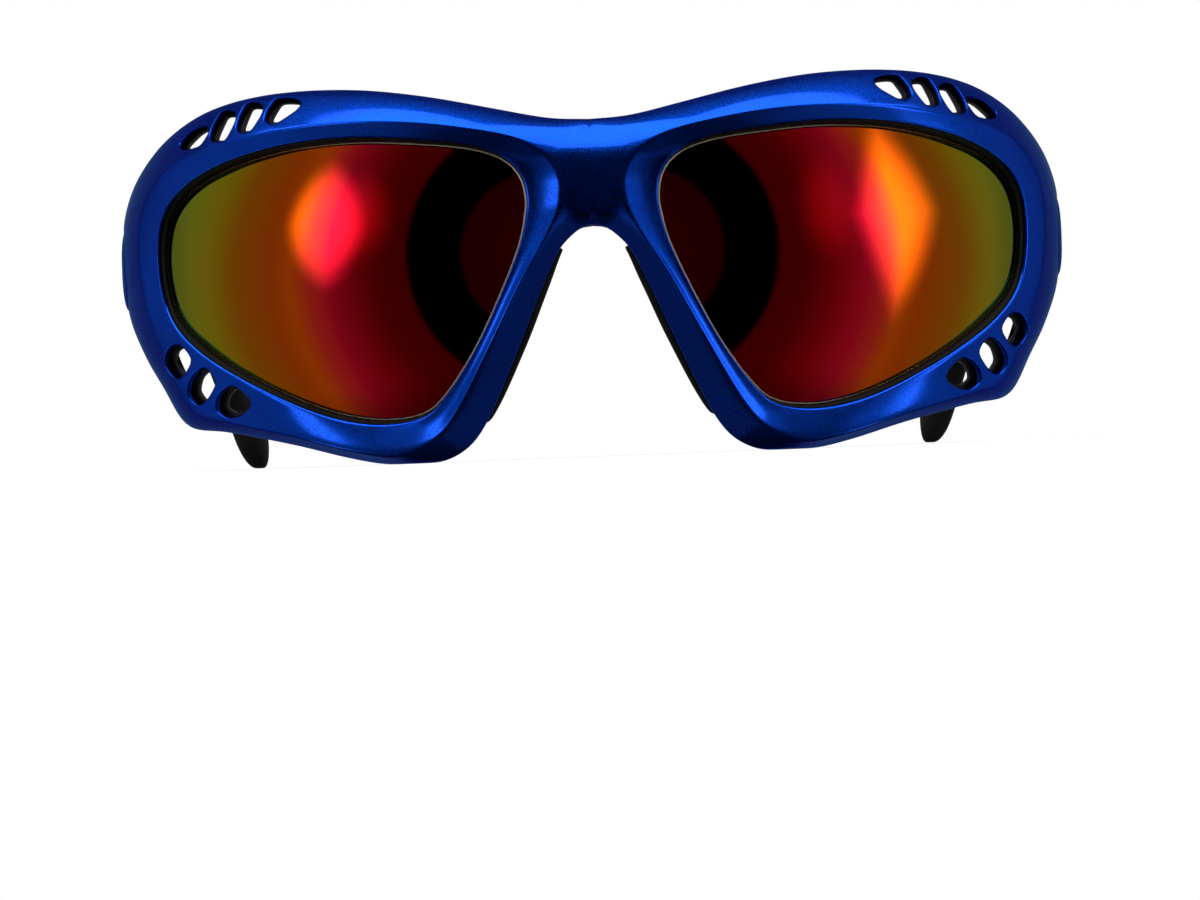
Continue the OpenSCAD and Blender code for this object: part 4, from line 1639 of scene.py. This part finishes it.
@dataclass
class Studio:
    """Floor, backdrop light, lamps and camera."""

    distance: float = 0.600
    yaw: float = math.radians(-0.4)
    roll: float = math.radians(-2.22)
    aim: Point = (-0.0003, BALL.shift_y * MM, (BALL.mid_z - 25.0) * MM)
    room_ring: tuple[Pair, ...] = (
        (0, 0.03), (20.5, 0.02), (21.5, 0.0005), (35, 0.0005), (36, 0.06), (44, 0.08), (52, 0.17),
        (60, 0.26), (76, 0.26), (104, 0.30), (122, 0.13), (180, 0.20))
    foot: Point = (-42.0, -26.0, 0.12)
    panels: tuple[Panel, ...] = (
        Panel(70.0, 7.0, 17.0, 27.0, 2.4, 0.9, 1.2),
        Panel(-58.0, 9.0, 14.5, 17.0, 2.1, 0.8, 1.6),
        Panel(0.0, 66.0, 98.0, 22.0, 2.4, 0.08, 6.0),
        Panel(50.0, 9.0, 12.0, 16.0, 0.22, 1.0),
        Panel(-49.0, 11.0, 13.0, 14.0, 0.36, 1.0),
    )
    strips: tuple[Panel, ...] = (
        Panel(76.0, 40.0, 34.0, 7.0, 2.4, 0.7),
        Panel(-76.0, 40.0, 34.0, 7.0, 2.4, 0.7),
        Panel(94.0, -45.0, 26.0, 6.0, 2.4, 0.7),
        Panel(-94.0, -45.0, 26.0, 6.0, 2.4, 0.7),
    )
    pixels_per_metre: float = 7000.0
    frame_width: float = 1200.0
    film_width: float = 36.0
    middle: Point = (0.0, -0.06, 0.03)
    room_radius: float = 1.4
    surround: Point = (0.95, 0.97, 1.0)
    surround_strength: float = 0.55
    flag_size: Point = (0.090, 0.038, 1.0)
    flag_place: Point = (0.0, -0.069, -0.0145)
    flag_glow: float = 0.10
    floor_size: float = 6.0
    floor_colour: Point = (0.9, 0.9, 0.9)
    floor_fade: Pair = (0.08, 0.26)
    floor_white: Pair = (0.6, 1.0)

    def camera(self) -> None:
        """Sets the camera where the photograph was taken from."""
        data = bpy.data.cameras.new("camera")
        data.sensor_fit = "HORIZONTAL"
        data.sensor_width = self.film_width
        data.lens = self.film_width * self.pixels_per_metre * self.distance / self.frame_width
        data.clip_start = 0.01
        forward = Vector((-math.sin(self.yaw), math.cos(self.yaw), 0.0))
        right = Vector((math.cos(self.yaw), math.sin(self.yaw), 0.0))
        up = right.cross(forward)
        tilted = right * math.cos(self.roll) + up * math.sin(self.roll)
        upright = tilted.cross(forward)
        turn = Matrix((tilted, upright, -forward)).transposed().to_4x4()
        camera = bpy.data.objects.new("camera", data)
        camera.matrix_world = Matrix.Translation(Vector(self.aim) - forward * self.distance) @ turn
        bpy.context.scene.collection.objects.link(camera)
        bpy.context.scene.camera = camera

    def world(self) -> None:
        """Makes the surroundings: white to the camera and the gloss, and a softer light to the rest."""
        board = Board("studio", for_world=True)
        rays = board.node("LightPath").outputs
        direct = board.math("MAXIMUM", rays["Is Camera Ray"], rays["Is Transmission Ray"])
        white = board.math("MAXIMUM", direct, rays["Is Glossy Ray"])
        soft = board.node("Background", {"Color": self.surround, "Strength": self.surround_strength})
        seen = board.node("Background", {"Color": WHITE, "Strength": 1.0})
        board.show(board.node("MixShader", {0: white, 1: soft.outputs[0], 2: seen.outputs[0]}))
        bpy.context.scene.world = board.owner

    def _glow(self, board: Board, panel: Panel, turn: Socket, rise: Socket) -> Socket:
        """Adds a panel's light to the room's board.

        Args:
            board: the room's board.
            panel: the panel.
            turn: the direction's angle round the sunglasses.
            rise: its angle above the horizon.

        Returns:
            The panel's strength in that direction.
        """
        sizes = []
        wide, high = (turn, panel.turn, panel.half_wide), (rise, panel.rise, panel.half_high)
        for angle, middle, half in (wide, high):
            off = board.math("SUBTRACT", angle, math.radians(middle))
            off = board.math("ABSOLUTE", board.math("DIVIDE", off, math.radians(half)))
            sizes.append(board.math("POWER", off, panel.corner))
        size = board.math("POWER", board.math("ADD", *sizes), 1.0 / panel.corner)
        return board.spread(size, (1.0 - panel.soft, 1.0), (panel.strength, 0.0), "SMOOTHERSTEP")

    def room(self) -> None:
        """Hangs the dim room round the front that the gloss sees, with its soft panels of light."""
        board = Board("dim_room")
        way = board.node("VectorMath", {0: board.place()}, operation="NORMALIZE").outputs[0]
        parts = board.parts(way)
        ahead = board.math("MULTIPLY", parts["Y"], -1.0)
        turn = board.math("ARCTAN2", parts["X"], ahead)
        rise = board.math("ARCSINE", parts["Z"])
        off_axis = board.math("DIVIDE", board.math("ARCCOSINE", ahead), math.pi)
        total = board.ramp([(place / 180.0, (value,) * 3) for place, value in self.room_ring], off_axis)
        for panel in self.panels:
            total = board.math("ADD", total, self._glow(board, panel, turn, rise))
        low, high, least = self.foot
        span = (math.radians(low), math.radians(high))
        total = board.math("MULTIPLY", total, board.spread(rise, span, (least, 1.0), "SMOOTHSTEP"))
        for panel in self.strips:
            total = board.math("ADD", total, self._glow(board, panel, turn, rise))
        board.show(board.node("Emission", {"Strength": total}))
        board.owner.cycles.emission_sampling = "NONE"
        bm = bmesh.new()
        bmesh.ops.create_icosphere(bm, subdivisions=4, radius=self.room_radius)
        room = make_object(bm, "room", [board.owner])
        room.location = self.middle
        hide_from(room, *ALL_BUT_GLOSSY)

    def flag(self) -> None:
        """Hangs a dark card between the nose pads, which only the gloss sees."""
        board = Board("dark_card")
        board.show(board.node("Emission", {"Strength": self.flag_glow}))
        bm = bmesh.new()
        made = bmesh.ops.create_grid(bm, x_segments=1, y_segments=1, size=0.5)["verts"]
        bmesh.ops.scale(bm, vec=self.flag_size, verts=made)
        bmesh.ops.rotate(bm, cent=(0.0, 0.0, 0.0), matrix=Matrix.Rotation(math.pi / 2, 3, "Y"), verts=made)
        bmesh.ops.translate(bm, vec=self.flag_place, verts=made)
        flag = make_object(bm, "nose_flag", [board.owner])
        hide_from(flag, *ALL_BUT_GLOSSY)

    def lamp(self, name: str, place: Point, size: float, power: float) -> None:
        """Adds a soft square lamp that faces the sunglasses.

        Args:
            name: the lamp's name.
            place: where it hangs, in metres.
            size: its side, in metres.
            power: its power, in watts.
        """
        data = bpy.data.lights.new(name, "AREA")
        data.energy = power
        data.size = size
        lamp = bpy.data.objects.new(name, data)
        facing = (Vector(self.middle) - Vector(place)).to_track_quat("-Z", "Y").to_matrix().to_4x4()
        lamp.matrix_world = Matrix.Translation(Vector(place)) @ facing
        hide_from(lamp, "glossy")
        bpy.context.scene.collection.objects.link(lamp)

    def floor(self) -> None:
        """Lays the pale floor, which keeps the shadow and is otherwise white to the camera."""
        board = Board("pale_floor")
        seen = board.node("LightPath").outputs["Is Camera Ray"]
        cloth = board.node("BsdfDiffuse", {"Color": self.floor_colour})
        glow = board.node("Emission", {"Strength": 1.0})
        far = board.node("VectorMath", {0: board.place()}, operation="LENGTH").outputs["Value"]
        away = board.spread(far, self.floor_fade, self.floor_white, "SMOOTHSTEP")
        white = board.math("MULTIPLY", seen, away)
        board.show(board.node("MixShader", {0: white, 1: cloth.outputs[0], 2: glow.outputs[0]}))
        bm = bmesh.new()
        bmesh.ops.create_grid(bm, x_segments=1, y_segments=1, size=self.floor_size)
        floor = make_object(bm, "floor", [board.owner])
        hide_from(floor, "glossy")

    def build(self) -> None:
        """Sets up the studio."""
        self.camera()
        self.world()
        self.floor()
        self.room()
        self.flag()
        self.lamp("key", (-0.5, -0.7, 0.9), size=0.7, power=9.0)
        self.lamp("fill", (0.6, -0.6, 0.8), size=0.7, power=7.0)
        bpy.context.scene.view_settings.view_transform = "Standard"


def main() -> None:
    """Builds the sunglasses and the studio."""
    logging.basicConfig(level=logging.INFO, format="%(message)s")
    Studio().build()
    finishes = Finishes()
    front = Front(finishes)
    front.shell()
    front.liner()
    for side in Side:
        lens = Lens(finishes, side)
        lens.glass()
        lens.seal()
        NosePad(finishes, side).build()
        temple = Temple(finishes, side)
        temple.bar()
        temple.sleeve()
        temple.grip()
    Hinges(finishes).dress()


if __name__ == "__main__":
    main()
